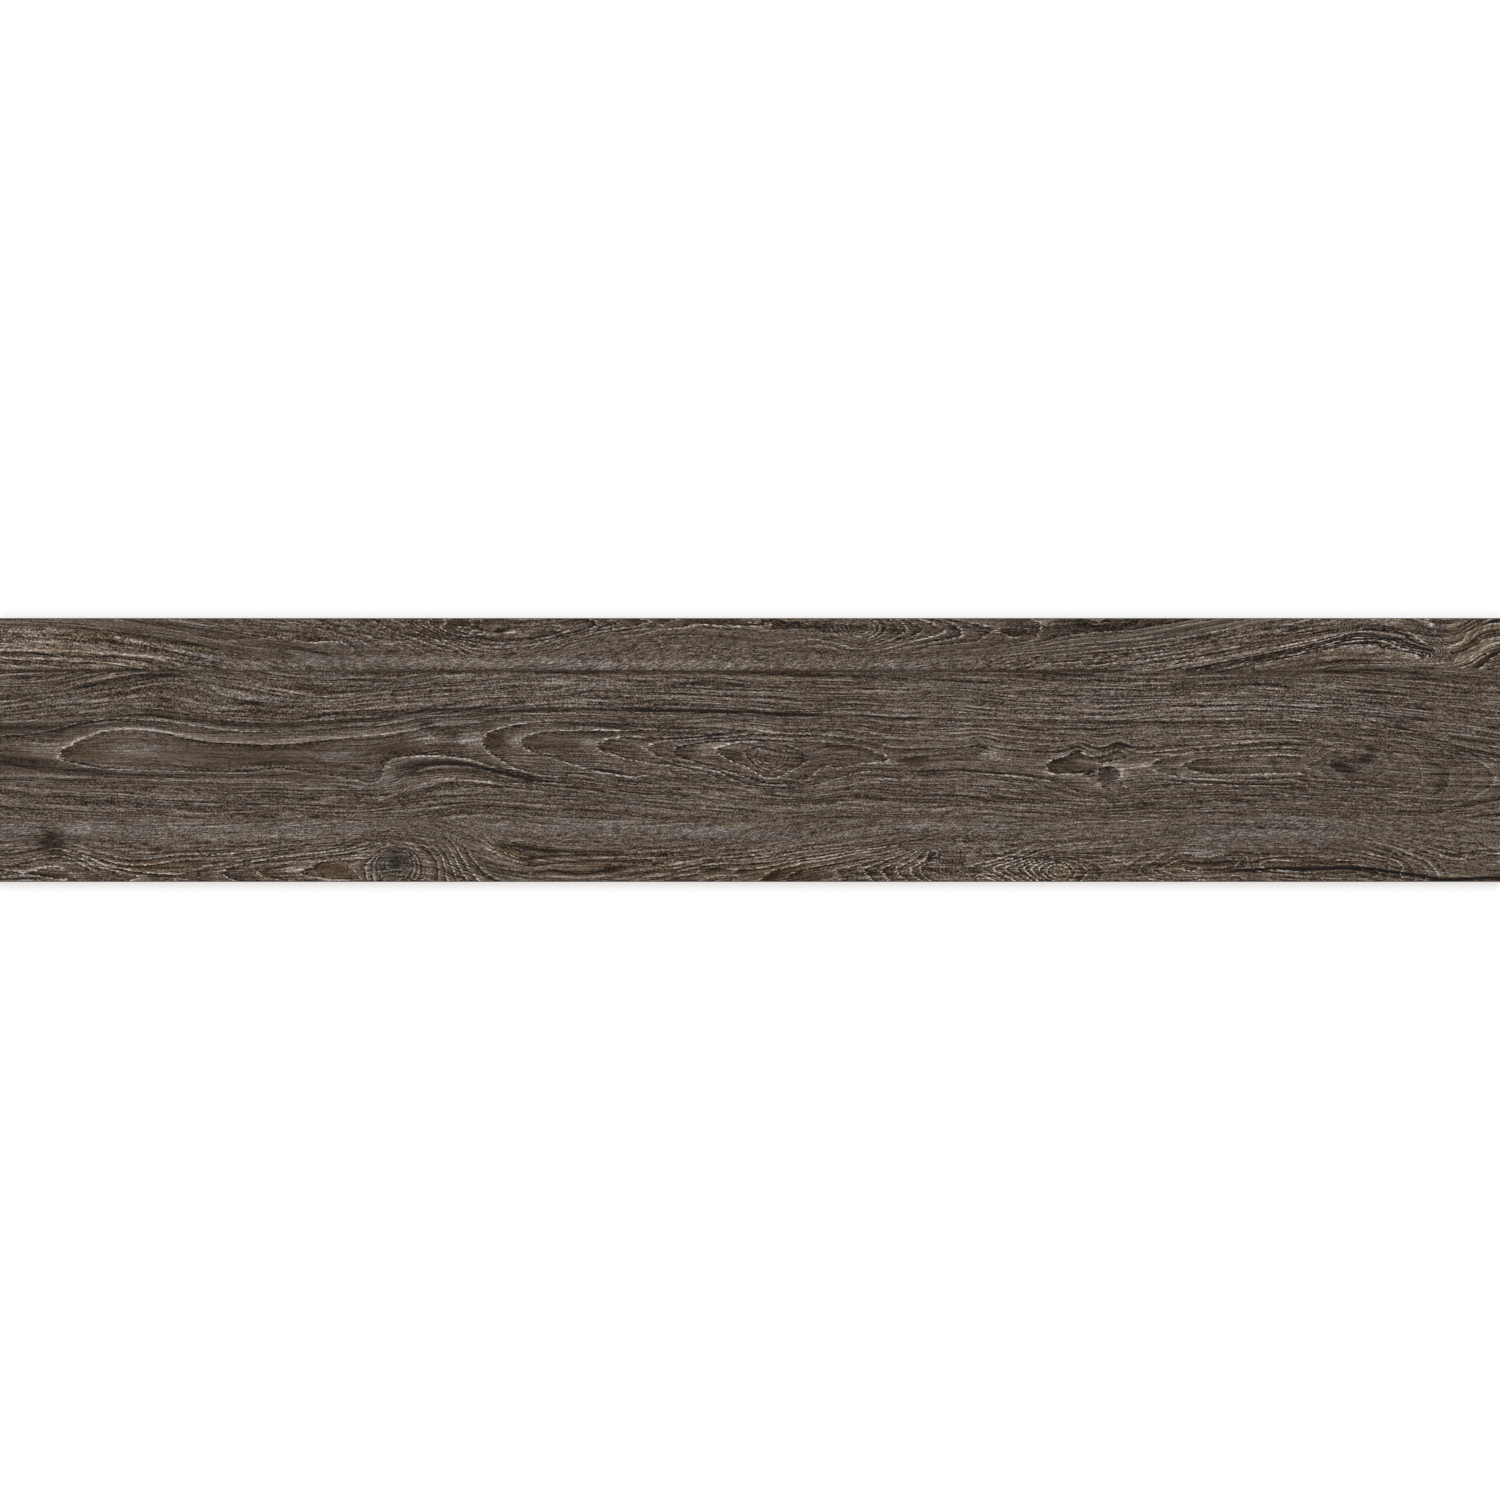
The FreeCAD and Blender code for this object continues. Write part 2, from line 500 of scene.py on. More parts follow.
STREAKS_NEAR = (
    Streak(((0, 210), (60, 209), (130, 212), (220, 208), (330, 211), (400, 209)), 9, 0.10, -0.5),
    Streak(((200, 218), (260, 217), (330, 220)), 5, 0.08, -0.6),
    Streak(((480, 210), (560, 207), (640, 208), (720, 214), (800, 222)), 9, 0.09, -0.5),
    Streak(((0, 239), (25, 235), (50, 231)), 3, -0.18),
    Streak(((55, 232), (80, 238), (103, 247), (135, 253), (170, 256), (200, 253), (225, 246), (260, 241)),
        1.8, 0.13),
    Streak(((0, 255), (25, 255), (45, 249), (60, 250), (74, 258), (80, 264)), 2.5, 0.20),
    Streak(((228, 258), (240, 252), (262, 247), (290, 243)), 2, 0.10),
    Streak(((262, 255), (285, 252), (305, 246), (330, 243), (350, 242)), 3.5, 0.16),
    Streak(((310, 256), (330, 262)), 2.5, 0.16),
    Streak(((310, 251), (330, 249), (350, 252)), 7, -0.10, 0.9),
    Streak(((340, 244), (356, 248), (352, 256), (360, 264)), 3, 0.14),
    Streak(((365, 243), (371, 250), (368, 258), (376, 264)), 3, 0.12),
    Streak(((250, 239), (300, 233), (345, 227), (375, 220), (400, 216), (425, 218), (450, 227)), 2, -0.08),
    Streak(((507, 227), (520, 228.5), (535, 231), (550, 233), (565, 234), (597, 233.5), (630, 234)),
        1.5, -0.34),
    Streak(((525, 241.5), (535, 240), (550, 238), (567, 237.5), (597, 236.5), (625, 238)), 1.5, -0.30),
    Streak(((528, 247.5), (547, 246.5), (558, 245), (573, 244), (605, 242), (622, 243), (650, 242.5)),
        1.4, -0.28),
    Streak(((513, 252.5), (527, 254), (538, 255), (550, 252), (558, 252.5), (567, 255.5), (590, 256),
        (600, 253.5), (612, 249.5), (635, 249)), 1.5, -0.34),
    Streak(((623, 258), (638, 256), (655, 254.5), (675, 251), (700, 247)), 1.5, -0.28),
    Streak(((483, 227), (493, 233), (502, 239), (513, 242), (523, 245.5)), 1.4, 0.28),
    Streak(((523, 244.5), (540, 242.5), (555, 241), (580, 240.5), (607, 239), (640, 239)), 1.3, 0.22, 0.4),
    Streak(((527, 250), (540, 249.5), (550, 247.5), (570, 246.5)), 1.2, 0.20),
    Streak(((513, 250.5), (530, 252.5), (545, 251), (555, 249.5)), 1.1, 0.18),
    Streak(((525, 258), (543, 259), (560, 258), (573, 259.5), (597, 259), (607, 257), (622, 254),
        (655, 250), (688, 244), (710, 240)), 1.5, 0.30, 0.3),
    Streak(((545, 236), (580, 235.7), (620, 236), (655, 232.5), (700, 230)), 1.1, 0.20),
    Streak(((620, 261.5), (638, 261), (652, 257.5), (665, 252.5), (700, 246)), 1.5, 0.24, 0.3),
    Streak(((700, 252), (706, 250), (718, 250), (730, 250.5)), 1.3, -0.30),
    Streak(((737, 254), (743, 251.5), (757, 250)), 1.3, -0.24),
    Streak(((700, 260), (750, 249), (800, 244), (850, 234)), 4, 0.07, 0.8),
    Streak(((760, 262), (790, 252), (815, 248)), 7, -0.08, 0.8),
    Streak(((840, 230), (900, 224), (940, 219), (960, 220)), 3, -0.12, 0.4),
    Streak(((935, 240), (950, 245), (965, 243)), 8, -0.18),
    Streak(((1000, 229), (1050, 224), (1090, 223)), 1.5, -0.12),
    Streak(((1148, 250), (1165, 243), (1185, 239)), 2.5, -0.10),
    Streak(((1232, 253), (1258, 252), (1270, 250.5), (1290, 250.5), (1310, 251), (1330, 250.5),
        (1345, 249.5), (1360, 251), (1375, 252), (1390, 254), (1415, 257), (1435, 261), (1445, 262),
        (1460, 261), (1480, 260), (1500, 260)), 2.3, -0.62, -0.2),
    Streak(((505, 226), (525, 227), (545, 230), (560, 230)), 1.5, -0.22),
    Streak(((500, 227), (515, 231), (535, 232), (560, 234)), 1.2, -0.18),
    Streak(((625, 235), (637, 232)), 0.8, 0.35, -0.5),
    Streak(((1052, 254), (1058, 258)), 1.2, 0.3),
    Streak(((1255, 243), (1300, 244), (1350, 245)), 5, 0.04, 0.6),
    Streak(((1188, 235), (1200, 236), (1222, 236)), 2, 0.18, -1.2),
    Streak(((1192, 233), (1210, 232)), 1.5, 0.16, -1.2),
    Streak(((1240, 199), (1270, 198), (1310, 200)), 3, 0.16, -0.6),
    Streak(((1200, 216), (1260, 215), (1340, 218)), 8, 0.06, -0.6),
    Streak(((1250, 209), (1300, 210)), 1.8, -0.16),
    Streak(((1450, 259), (1480, 258)), 3, 0.14),
    Streak(((1430, 263), (1500, 263)), 2.5, -0.20),
    Streak(((900, 208), (950, 208), (1010, 210)), 7, 0.09, -0.4),
    Streak(((1380, 213), (1440, 215), (1500, 213)), 2, -0.14),
)
CLOUDS = (
    Cloud((205, 74), (26, 18), 0.07, -0.3, -0.1, 0.8),
    Cloud((462, 12), (30, 11), -0.13, 0.2, -0.3),
    Cloud((518, 13), (18, 9), 0.02, 0.7, 0.1, rings=-0.4),
    Cloud((137, 131), (32, 5.5), 0.12, -0.7, 0.3),
    Cloud((336, 138), (28, 6.5), 0.10, -0.7, 0.3),
    Cloud((45, 133), (18, 7), 0.12, -0.2, 0.2),
    Cloud((88, 136), (24, 6), -0.06, 0.9, -0.2),
    Cloud((255, 136), (55, 8), -0.05, 0.4),
    Cloud((20, 144), (50, 9), -0.04, 0.0, -0.4),
    Cloud((240, 136), (190, 13), 0.0, 0.0, -0.38),
    Cloud((429, 119), (15, 6), 0.20, -0.3, 0.4),
    Cloud((470, 120), (11, 10), 0.19, -0.3, 0.4),
    Cloud((428, 107), (9, 4), -0.24, -0.8),
    Cloud((391, 157), (10, 12), 0.13, -0.2),
    Cloud((396, 131), (20, 7), -0.05, 0.2, -0.4),
    Cloud((497, 123), (11, 8), -0.16, 0.0, -0.2),
    Cloud((516, 124), (7, 7), 0.18, -0.2),
    Cloud((560, 126), (30, 7), -0.07, 0.2, -0.3),
    Cloud((588, 126), (9, 4.5), 0.19, -0.3),
    Cloud((648, 128), (11, 4), 0.12),
    Cloud((686, 134), (12, 5), -0.09, 0.3),
    Cloud((722, 126), (17, 3.5), 0.30, 0.0),
    Cloud((705, 134), (7, 5), 0.20, 0.0),
    Cloud((715, 119), (9, 3.5), -0.28, -0.5),
    Cloud((738, 136), (12, 4), -0.10),
    Cloud((803, 139), (8, 5), -0.17, -0.3),
    Cloud((916, 144), (12, 4.5), -0.15, -0.3, -0.2),
    Cloud((980, 128), (8, 5), -0.14, -0.8),
    Cloud((990, 135), (9, 4), 0.20, -0.2),
    Cloud((733, 175), (28, 5), 0.10, 0.2),
    Cloud((1068, 147), (18, 6), -0.13, 0.3, -0.3),
    Cloud((1092, 154), (6, 5), -0.18, -0.3),
    Cloud((1108, 156.5), (8, 7), -0.17, -2.0, -0.2),
    Cloud((1120.5, 155.5), (3.4, 6), 0.34, 0.2),
    Cloud((1096.5, 152.5), (3.2, 5.5), 0.22),
    Cloud((1101, 166), (6, 2.2), 0.18),
    Cloud((1130, 152), (22, 9), 0.08, 0.2),
    Cloud((1143, 147), (7, 3), 0.15),
    Cloud((1180, 146), (7, 3), 0.15),
    Cloud((1118, 127), (12, 3.5), -0.17),
    Cloud((1076, 131), (7, 4), -0.10),
    Cloud((1337, 146.5), (7, 4), -0.32, -0.9),
    Cloud((1348, 153), (8, 3.5), -0.16, -0.4),
    Cloud((1364, 142), (9, 4), -0.30, -0.9),
    Cloud((1371, 132), (8, 5), -0.16, -0.5),
    Cloud((1355, 148), (32, 16), -0.01, -0.3, 0.1, rings=-0.3),
    Cloud((1438, 168), (6, 12), -0.13),
    Cloud((1293, 206), (45, 8), 0.04, -0.8, 0.1, 0.3),
    Cloud((1200, 226), (26, 5), 0.04, -0.8),
    Cloud((1272, 144), (5, 4), -0.24, -0.8),
    Cloud((52, 228), (18, 10), -0.26, 0.0),
    Cloud((54, 215), (11, 9), -0.17, 0.4),
    Cloud((85, 212), (18, 10), 0.08, 0.0, -0.2, 0.6),
    Cloud((397, 244), (16, 13), -0.15, -2.0, rings=-1.0),
    Cloud((397, 246), (3, 9), -0.16, -0.5),
    Cloud((295, 252), (9, 4), 0.16),
    Cloud((220, 257), (7, 7), 0.17),
    Cloud((270, 254), (14, 6), -0.07, 0.9, -0.3),
    Cloud((335, 252), (16, 6), -0.04, 1.2, -0.5),
    Cloud((160, 247), (45, 5), -0.03, 1.0, -0.3),
    Cloud((931, 239), (7, 6), -0.26, -1.6),
    Cloud((938, 246), (5, 5), 0.14, -0.3),
    Cloud((1061, 254), (11, 8), 0.03, 0.9),
    Cloud((49, 257), (26, 3.5), -0.12, 0.3),
    Cloud((125, 258), (15, 4), -0.14, 0.3),
    Cloud((508, 235), (12, 4), -0.04, 0.8),
    Cloud((713, 252), (9, 2.5), -0.24, 0.2),
    Cloud((743, 253), (6, 3), -0.16, 0.2),
    Cloud((770, 260), (11, 4.5), -0.12, 0.5),
    Cloud((808, 260), (13, 4.5), -0.12, 0.5),
    Cloud((1139, 254), (10, 4.5), -0.15),
    Cloud((1242, 246.5), (7, 3), -0.18),
    Cloud((1180, 248), (18, 4), 0.05, 0.8, -0.2),
    Cloud((1205, 248), (18, 5), -0.10, 0.5),
    Cloud((1433, 12), (8, 11), -0.10, -1.2),
    Cloud((1425.5, 1.5), (2.2, 2.0), 0.5, -0.7),
    Cloud((1429.5, 7), (2.0, 2.4), 0.42, -0.7),
    Cloud((1434, 13), (2.2, 3.0), 0.32, -0.7),
    Cloud((503, 13), (5, 3), -0.2),
    Cloud((90, 32), (140, 24), 0.0, 0.35, 0.25),
    Cloud((1310, 87), (90, 22), 0.0, -0.1, 0.35),
    Cloud((1120, 82), (120, 24), 0.0, 0.0, 0.25),
    Cloud((560, 76), (220, 20), 0.03, 0.0, 0.2),
    Cloud((1260, 38), (85, 15), 0.0, 0.4, -0.3, rings=-0.35),
    Cloud((1475, 25), (40, 22), -0.01, 0.6, -0.4, rings=-0.45),
    Cloud((900, 244), (70, 16), 0.0, 0.4, 0.3),
    Cloud((640, 244), (110, 18), -0.02, 0.3, 0.0, rings=-0.35),
    Cloud((575, 247), (62, 17), -0.02, -0.2, -0.2, rings=-1.2),
    Cloud((508, 236), (9, 4), -0.08, 0.8, -0.2),
    Cloud((530, 243), (9, 4), -0.14),
    Cloud((613, 252), (12, 3.5), -0.18, 0.3),
    Cloud((585, 251), (14, 4), 0.05, 0.6, -0.2),
    Cloud((723, 259), (12, 2.5), 0.14, 0.4),
    Cloud((780, 257), (18, 6), -0.07, 0.4, -0.2),
    Cloud((780, 254), (50, 10), -0.02, 0.3, -0.2),
    Cloud((190, 36), (50, 6), 0.0, -0.8),
    Cloud((960, 117), (40, 8), 0.0, 0.0, 0.1),
    Cloud((650, 34), (150, 24), rings=-0.5, fuzz=0.4),
    Cloud((440, 20), (60, 22), rings=0.15),
    Cloud((930, 14), (80, 12), rings=0.45),
    Cloud((855, 11), (30, 14), rings=-0.35),
    Cloud((771, 140), (24, 16), rings=-0.7),
    Cloud((790, 122), (60, 5), rings=-0.3),
    Cloud((835, 131), (60, 14), rings=-0.6),
    Cloud((1420, 150), (50, 34), rings=-0.35),
    Cloud((1060, 253), (15, 11), 0.03, rings=-1.0),
    Cloud((950, 250), (16, 13), rings=-0.7),
    Cloud((615, 126), (140, 26), rings=0.1),
    Cloud((130, 118), (110, 14), rings=0.2),
    Cloud((120, 105), (110, 8), rings=0.35),
    Cloud((40, 140), (60, 30), rings=-0.2),
    Cloud((860, 250), (60, 16), rings=0.45),
    Cloud((1050, 252), (60, 16), rings=0.4),
    Cloud((1230, 250), (80, 12), rings=0.3),
    Cloud((1330, 190), (150, 10), rings=-0.3, fuzz=0.3),
    Cloud((1300, 225), (150, 10), rings=-0.3, fuzz=0.3),
    Cloud((570, 130), (100, 20), rings=-0.2),
    Cloud((350, 220), (110, 13), -0.03, 0.3, 0.12),
    Cloud((450, 180), (480, 14), -0.025),
    Cloud((1350, 11), (60, 7), rings=-0.5),
    Cloud((1245, 36), (60, 16), rings=-0.2),
)
MIDDLE_DEPTH = (
    (0, 7.75), (62, 7), (80, 6.68), (110, 6.1), (150, 5.98), (200, 6.41), (240, 6.52), (290, 6.59),
    (340, 6.2), (375, 6.1), (410, 6.1), (450, 6.3), (470, 6.25), (484, 6), (500, 5.45), (520, 5),
    (545, 4.5), (596, 4), (622, 3.5), (648, 3), (660, 2.5), (673, 2), (695, 1.5), (717, 1), (745, 0.6),
    (771, 0.2), (800, 0.8), (808, 1), (830, 1.2), (860, 1.6), (875, 1.8), (889, 2), (905, 2.15),
    (1040, 2.15), (1046, 2), (1060, 1.6), (1077, 1.3), (1090, 1.6), (1110, 2.1), (1130, 2.4), (1145, 2.1),
    (1150, 2), (1165, 1.4), (1184, 1), (1220, 0.6), (1272, 0.7), (1297, 1), (1310, 0.6), (1340, 0.2),
    (1375, 0.6), (1408, 1), (1420, 2), (1448, 3), (1471, 4), (1491, 5), (1500, 5.5),
)
FAR_DEPTH = (
    (0, 12), (150, 11.5), (250, 11), (280, 11), (310, 10), (344, 9), (354, 8), (374, 7), (394, 6), (404, 5),
    (413, 4), (422, 3), (430, 2), (442, 1), (505, 0.2), (560, 2), (594, 3), (613, 4), (646, 5), (673, 6),
    (700, 7), (760, 7.1), (775, 7.2), (815, 7.05), (822, 6.8), (831, 6), (838, 5.3), (855, 3), (880, 4.6),
    (886, 5), (897, 6), (906, 7), (921, 8), (942, 9), (963, 10), (989, 11), (1010, 11.6), (1038, 12),
    (1060, 12.3), (1100, 12.5), (1500, 12.5),
)
NEAR_DEPTH = (
    (0, 0.6), (75, 1), (104, 2), (138, 3), (180, 3.6), (226, 3), (260, 2), (303, 1), (350, 0.8), (400, 0.3),
    (440, 2.5), (480, 4), (520, 5), (560, 5.5), (650, 6), (760, 6.5), (800, 6.5), (843, 6), (866, 5),
    (884, 4), (898, 3), (913, 2), (925, 2.5), (940, 4.5), (950, 6.5), (983, 6), (1003, 5), (1017, 4),
    (1030, 3), (1040, 2), (1048, 1), (1058, 0.2), (1068, 1), (1076, 2), (1085, 3), (1100, 4), (1125, 4),
    (1150, 2), (1163, 1), (1180, 0.3), (1215, 0.6), (1235, 1.5), (1245, 2.3), (1252, 2), (1300, 1),
    (1350, 1.6), (1400, 4), (1450, 6), (1500, 7),
)
FAR_WAVES = (
    (330, 42, 160, 45, 18),
)
MIDDLE_WAVES = (
    (185, 60, 105, 30, -18), (1078, 130, 10, 12, -6), (1116, 129, 8, 12, -6), (980, 122, 14, 10, -5),
)
KNOTS = (
    Knot((771, 140), (21, 14), 4.0, 0.5, 0.8),
    Knot((855, 11), (27, 13), 4.5, 4.5, 0.8),
    Knot((397, 245), (25, 22), -4.5, 1.0, 1.0),
    Knot((1108, 156.5), (14, 12), 0.7, 2.16, 0.95),
    Knot((1060, 254), (12, 8), 1.6, 1.0, 0.6),
    Knot((1020, 14), (26, 7), 1.6),
    Knot((1432, 10), (11, 13), 2.4),
)

CONTOURS_FAR = (
    Contour(1, ((452, 1), (445, 6), (442, 11), (446, 15), (456, 19)), 0.3),
    Contour(2, ((437, -1), (431, 3), (430, 7), (436, 12), (448, 17), (465, 22)), 0.3),
    Contour(3, ((425, -1), (422, 3), (423, 6), (429, 10), (440, 15), (460, 21), (485, 27)), 0.3),
    Contour(4, ((414, -1), (413, 3), (417, 7), (424, 11), (436, 16), (455, 23), (480, 30)), 0.05),
    Contour(5, ((402, -1), (408, 4), (415, 9), (425, 13), (440, 19), (460, 26)), 0.05),
    Contour(6, ((394, -1), (402, 5), (411, 10), (421, 15), (435, 21), (455, 28)), 0.05),
    Contour(7, ((372, -1), (380, 5), (390, 10), (402, 15), (418, 21), (440, 29)), 0.05),
    Contour(8, ((350, -1), (360, 6), (372, 10), (387, 15), (405, 21), (425, 28)), 0.05),
    Contour(9, ((344, -1), (352, 5), (362, 9), (376, 14), (395, 21), (412, 27)), -0.1),
    Contour(10, ((310, -1), (330, 6), (350, 12), (370, 18), (390, 25)), -0.1),
    Contour(11, ((280, -1), (300, 5), (320, 10), (345, 17), (365, 24)), -0.1),
    Contour(3, ((575, -1), (588, 1), (597, 5.5), (590, 10), (577, 15), (562, 19), (540, 24))),
    Contour(4, ((600, -1), (612, 3), (615, 6.5), (600, 10.5), (585, 14), (568, 19), (550, 24))),
    Contour(5, ((630, -1), (642, 0.5), (647, 3.5), (640, 6.5), (620, 10), (600, 13), (583, 17), (560, 23))),
    Contour(6, ((680, -1), (670, 3), (658, 7.5), (645, 10.5), (625, 13), (605, 16), (585, 20), (565, 25))),
    Contour(7, ((655, 12.5), (675, 10.5), (690, 8), (700, 6), (712, 7), (735, 7.5), (757, 7.5), (767, 5),
        (773, 2), (772, -1))),
    Contour(7, ((776, 12), (786, 11), (800, 10), (815, 10), (822, 14), (828, 18), (842, 23), (858, 27))),
    Contour(6, ((846, 1), (838, 2), (832, 5), (831, 9.5), (834, 14), (841, 18.5), (850, 22)), 0.0),
    Contour(4, ((868, 1), (876, 5), (879, 10), (876, 15), (869, 19)), 0.0),
    Contour(5, ((878, 0), (884, 5), (886, 10), (883, 15), (877, 19), (868, 22)), 0.0),
    Contour(6, ((889, 1), (896, 6), (897.5, 10.5), (893, 14.5), (884, 20), (870, 24)), 0.3),
    Contour(7, ((893, 0), (902, 7), (907, 12.5), (901, 15.5), (891, 20), (875, 26)), 0.3),
    Contour(8, ((900, 0), (912, 5), (920, 10), (921, 14), (911, 18), (896, 23), (880, 28)), 0.3),
    Contour(9, ((915, 0), (933, 6), (942, 13), (940, 16), (922, 20), (905, 24), (890, 29)), 0.3),
    Contour(10, ((930, -1), (947, 3), (956, 8), (963, 14), (956, 19), (940, 22), (920, 26)), 0.3),
    Contour(11, ((945, 0), (972, 5), (985, 8), (995, 10.5), (988, 14), (984, 19), (973, 23.5), (955, 25.5),
        (930, 28)), 0.3),
    Contour(12, ((998, 27), (1016, 25), (1030, 22.5), (1037, 19.5), (1032, 17))),
    Contour(12, ((1015, -1), (1036, 3), (1041, 8), (1039, 12))),
    Contour(13, ((1015, 29), (1040, 24), (1060, 19), (1080, 16), (1100, 14.5), (1130, 12), (1150, 9),
        (1170, 5), (1185, 2.5), (1200, -1))),
    Contour(13, ((1078, -1), (1095, 3.5), (1110, 4), (1122, 3), (1130, -1))),
    Contour(14, ((1040, 28), (1060, 23), (1080, 19), (1100, 17.5), (1130, 15), (1160, 11), (1200, 4),
        (1225, -1))),
    Contour(15, ((1020, 32), (1050, 29), (1070, 27), (1100, 24), (1130, 21), (1150, 18), (1170, 15),
        (1200, 10), (1240, 3))),
    Contour(16, ((1010, 35.5), (1035, 33), (1060, 30), (1090, 27.5), (1130, 25), (1160, 21.5), (1200, 15),
        (1240, 8), (1280, 3))),
    Contour(18, ((1040, 40), (1080, 37), (1100, 35), (1150, 30.5), (1200, 24), (1250, 16), (1300, 8))),
    Contour(20, ((1030, 46), (1080, 43), (1130, 39), (1180, 33), (1230, 26), (1290, 17), (1340, 9))),
    Contour(22, ((1095, 53), (1120, 49), (1150, 45.5), (1180, 41), (1210, 37), (1235, 32), (1260, 27)),
        0.9),
    Contour(25, ((1190, 52.5), (1220, 46), (1260, 38), (1300, 30), (1320, 25.5), (1340, 20), (1350, 17),
        (1357, 16), (1370, 17.5), (1390, 20), (1400, 25), (1410, 28), (1428, 32)), 1.6),
    Contour(27, ((1250, 43), (1270, 39.5), (1290, 36), (1310, 32), (1330, 27), (1345, 23.5), (1360, 22),
        (1378, 22), (1395, 27), (1410, 32), (1428, 37)), 1.1),
    Contour(17, ((1445, 26), (1455, 26), (1462, 20), (1468, 13), (1475, 9.5), (1484, 6.5), (1500, 3.5)),
        1.0),
    Contour(20, ((1440, 40), (1452, 38), (1462, 34), (1470, 29.5), (1477, 25), (1485, 21), (1493, 19),
        (1500, 19)), 1.2),
    Contour(24, ((1470, 52), (1480, 49), (1488, 42), (1495, 37), (1500, 35)), 1.0),
)
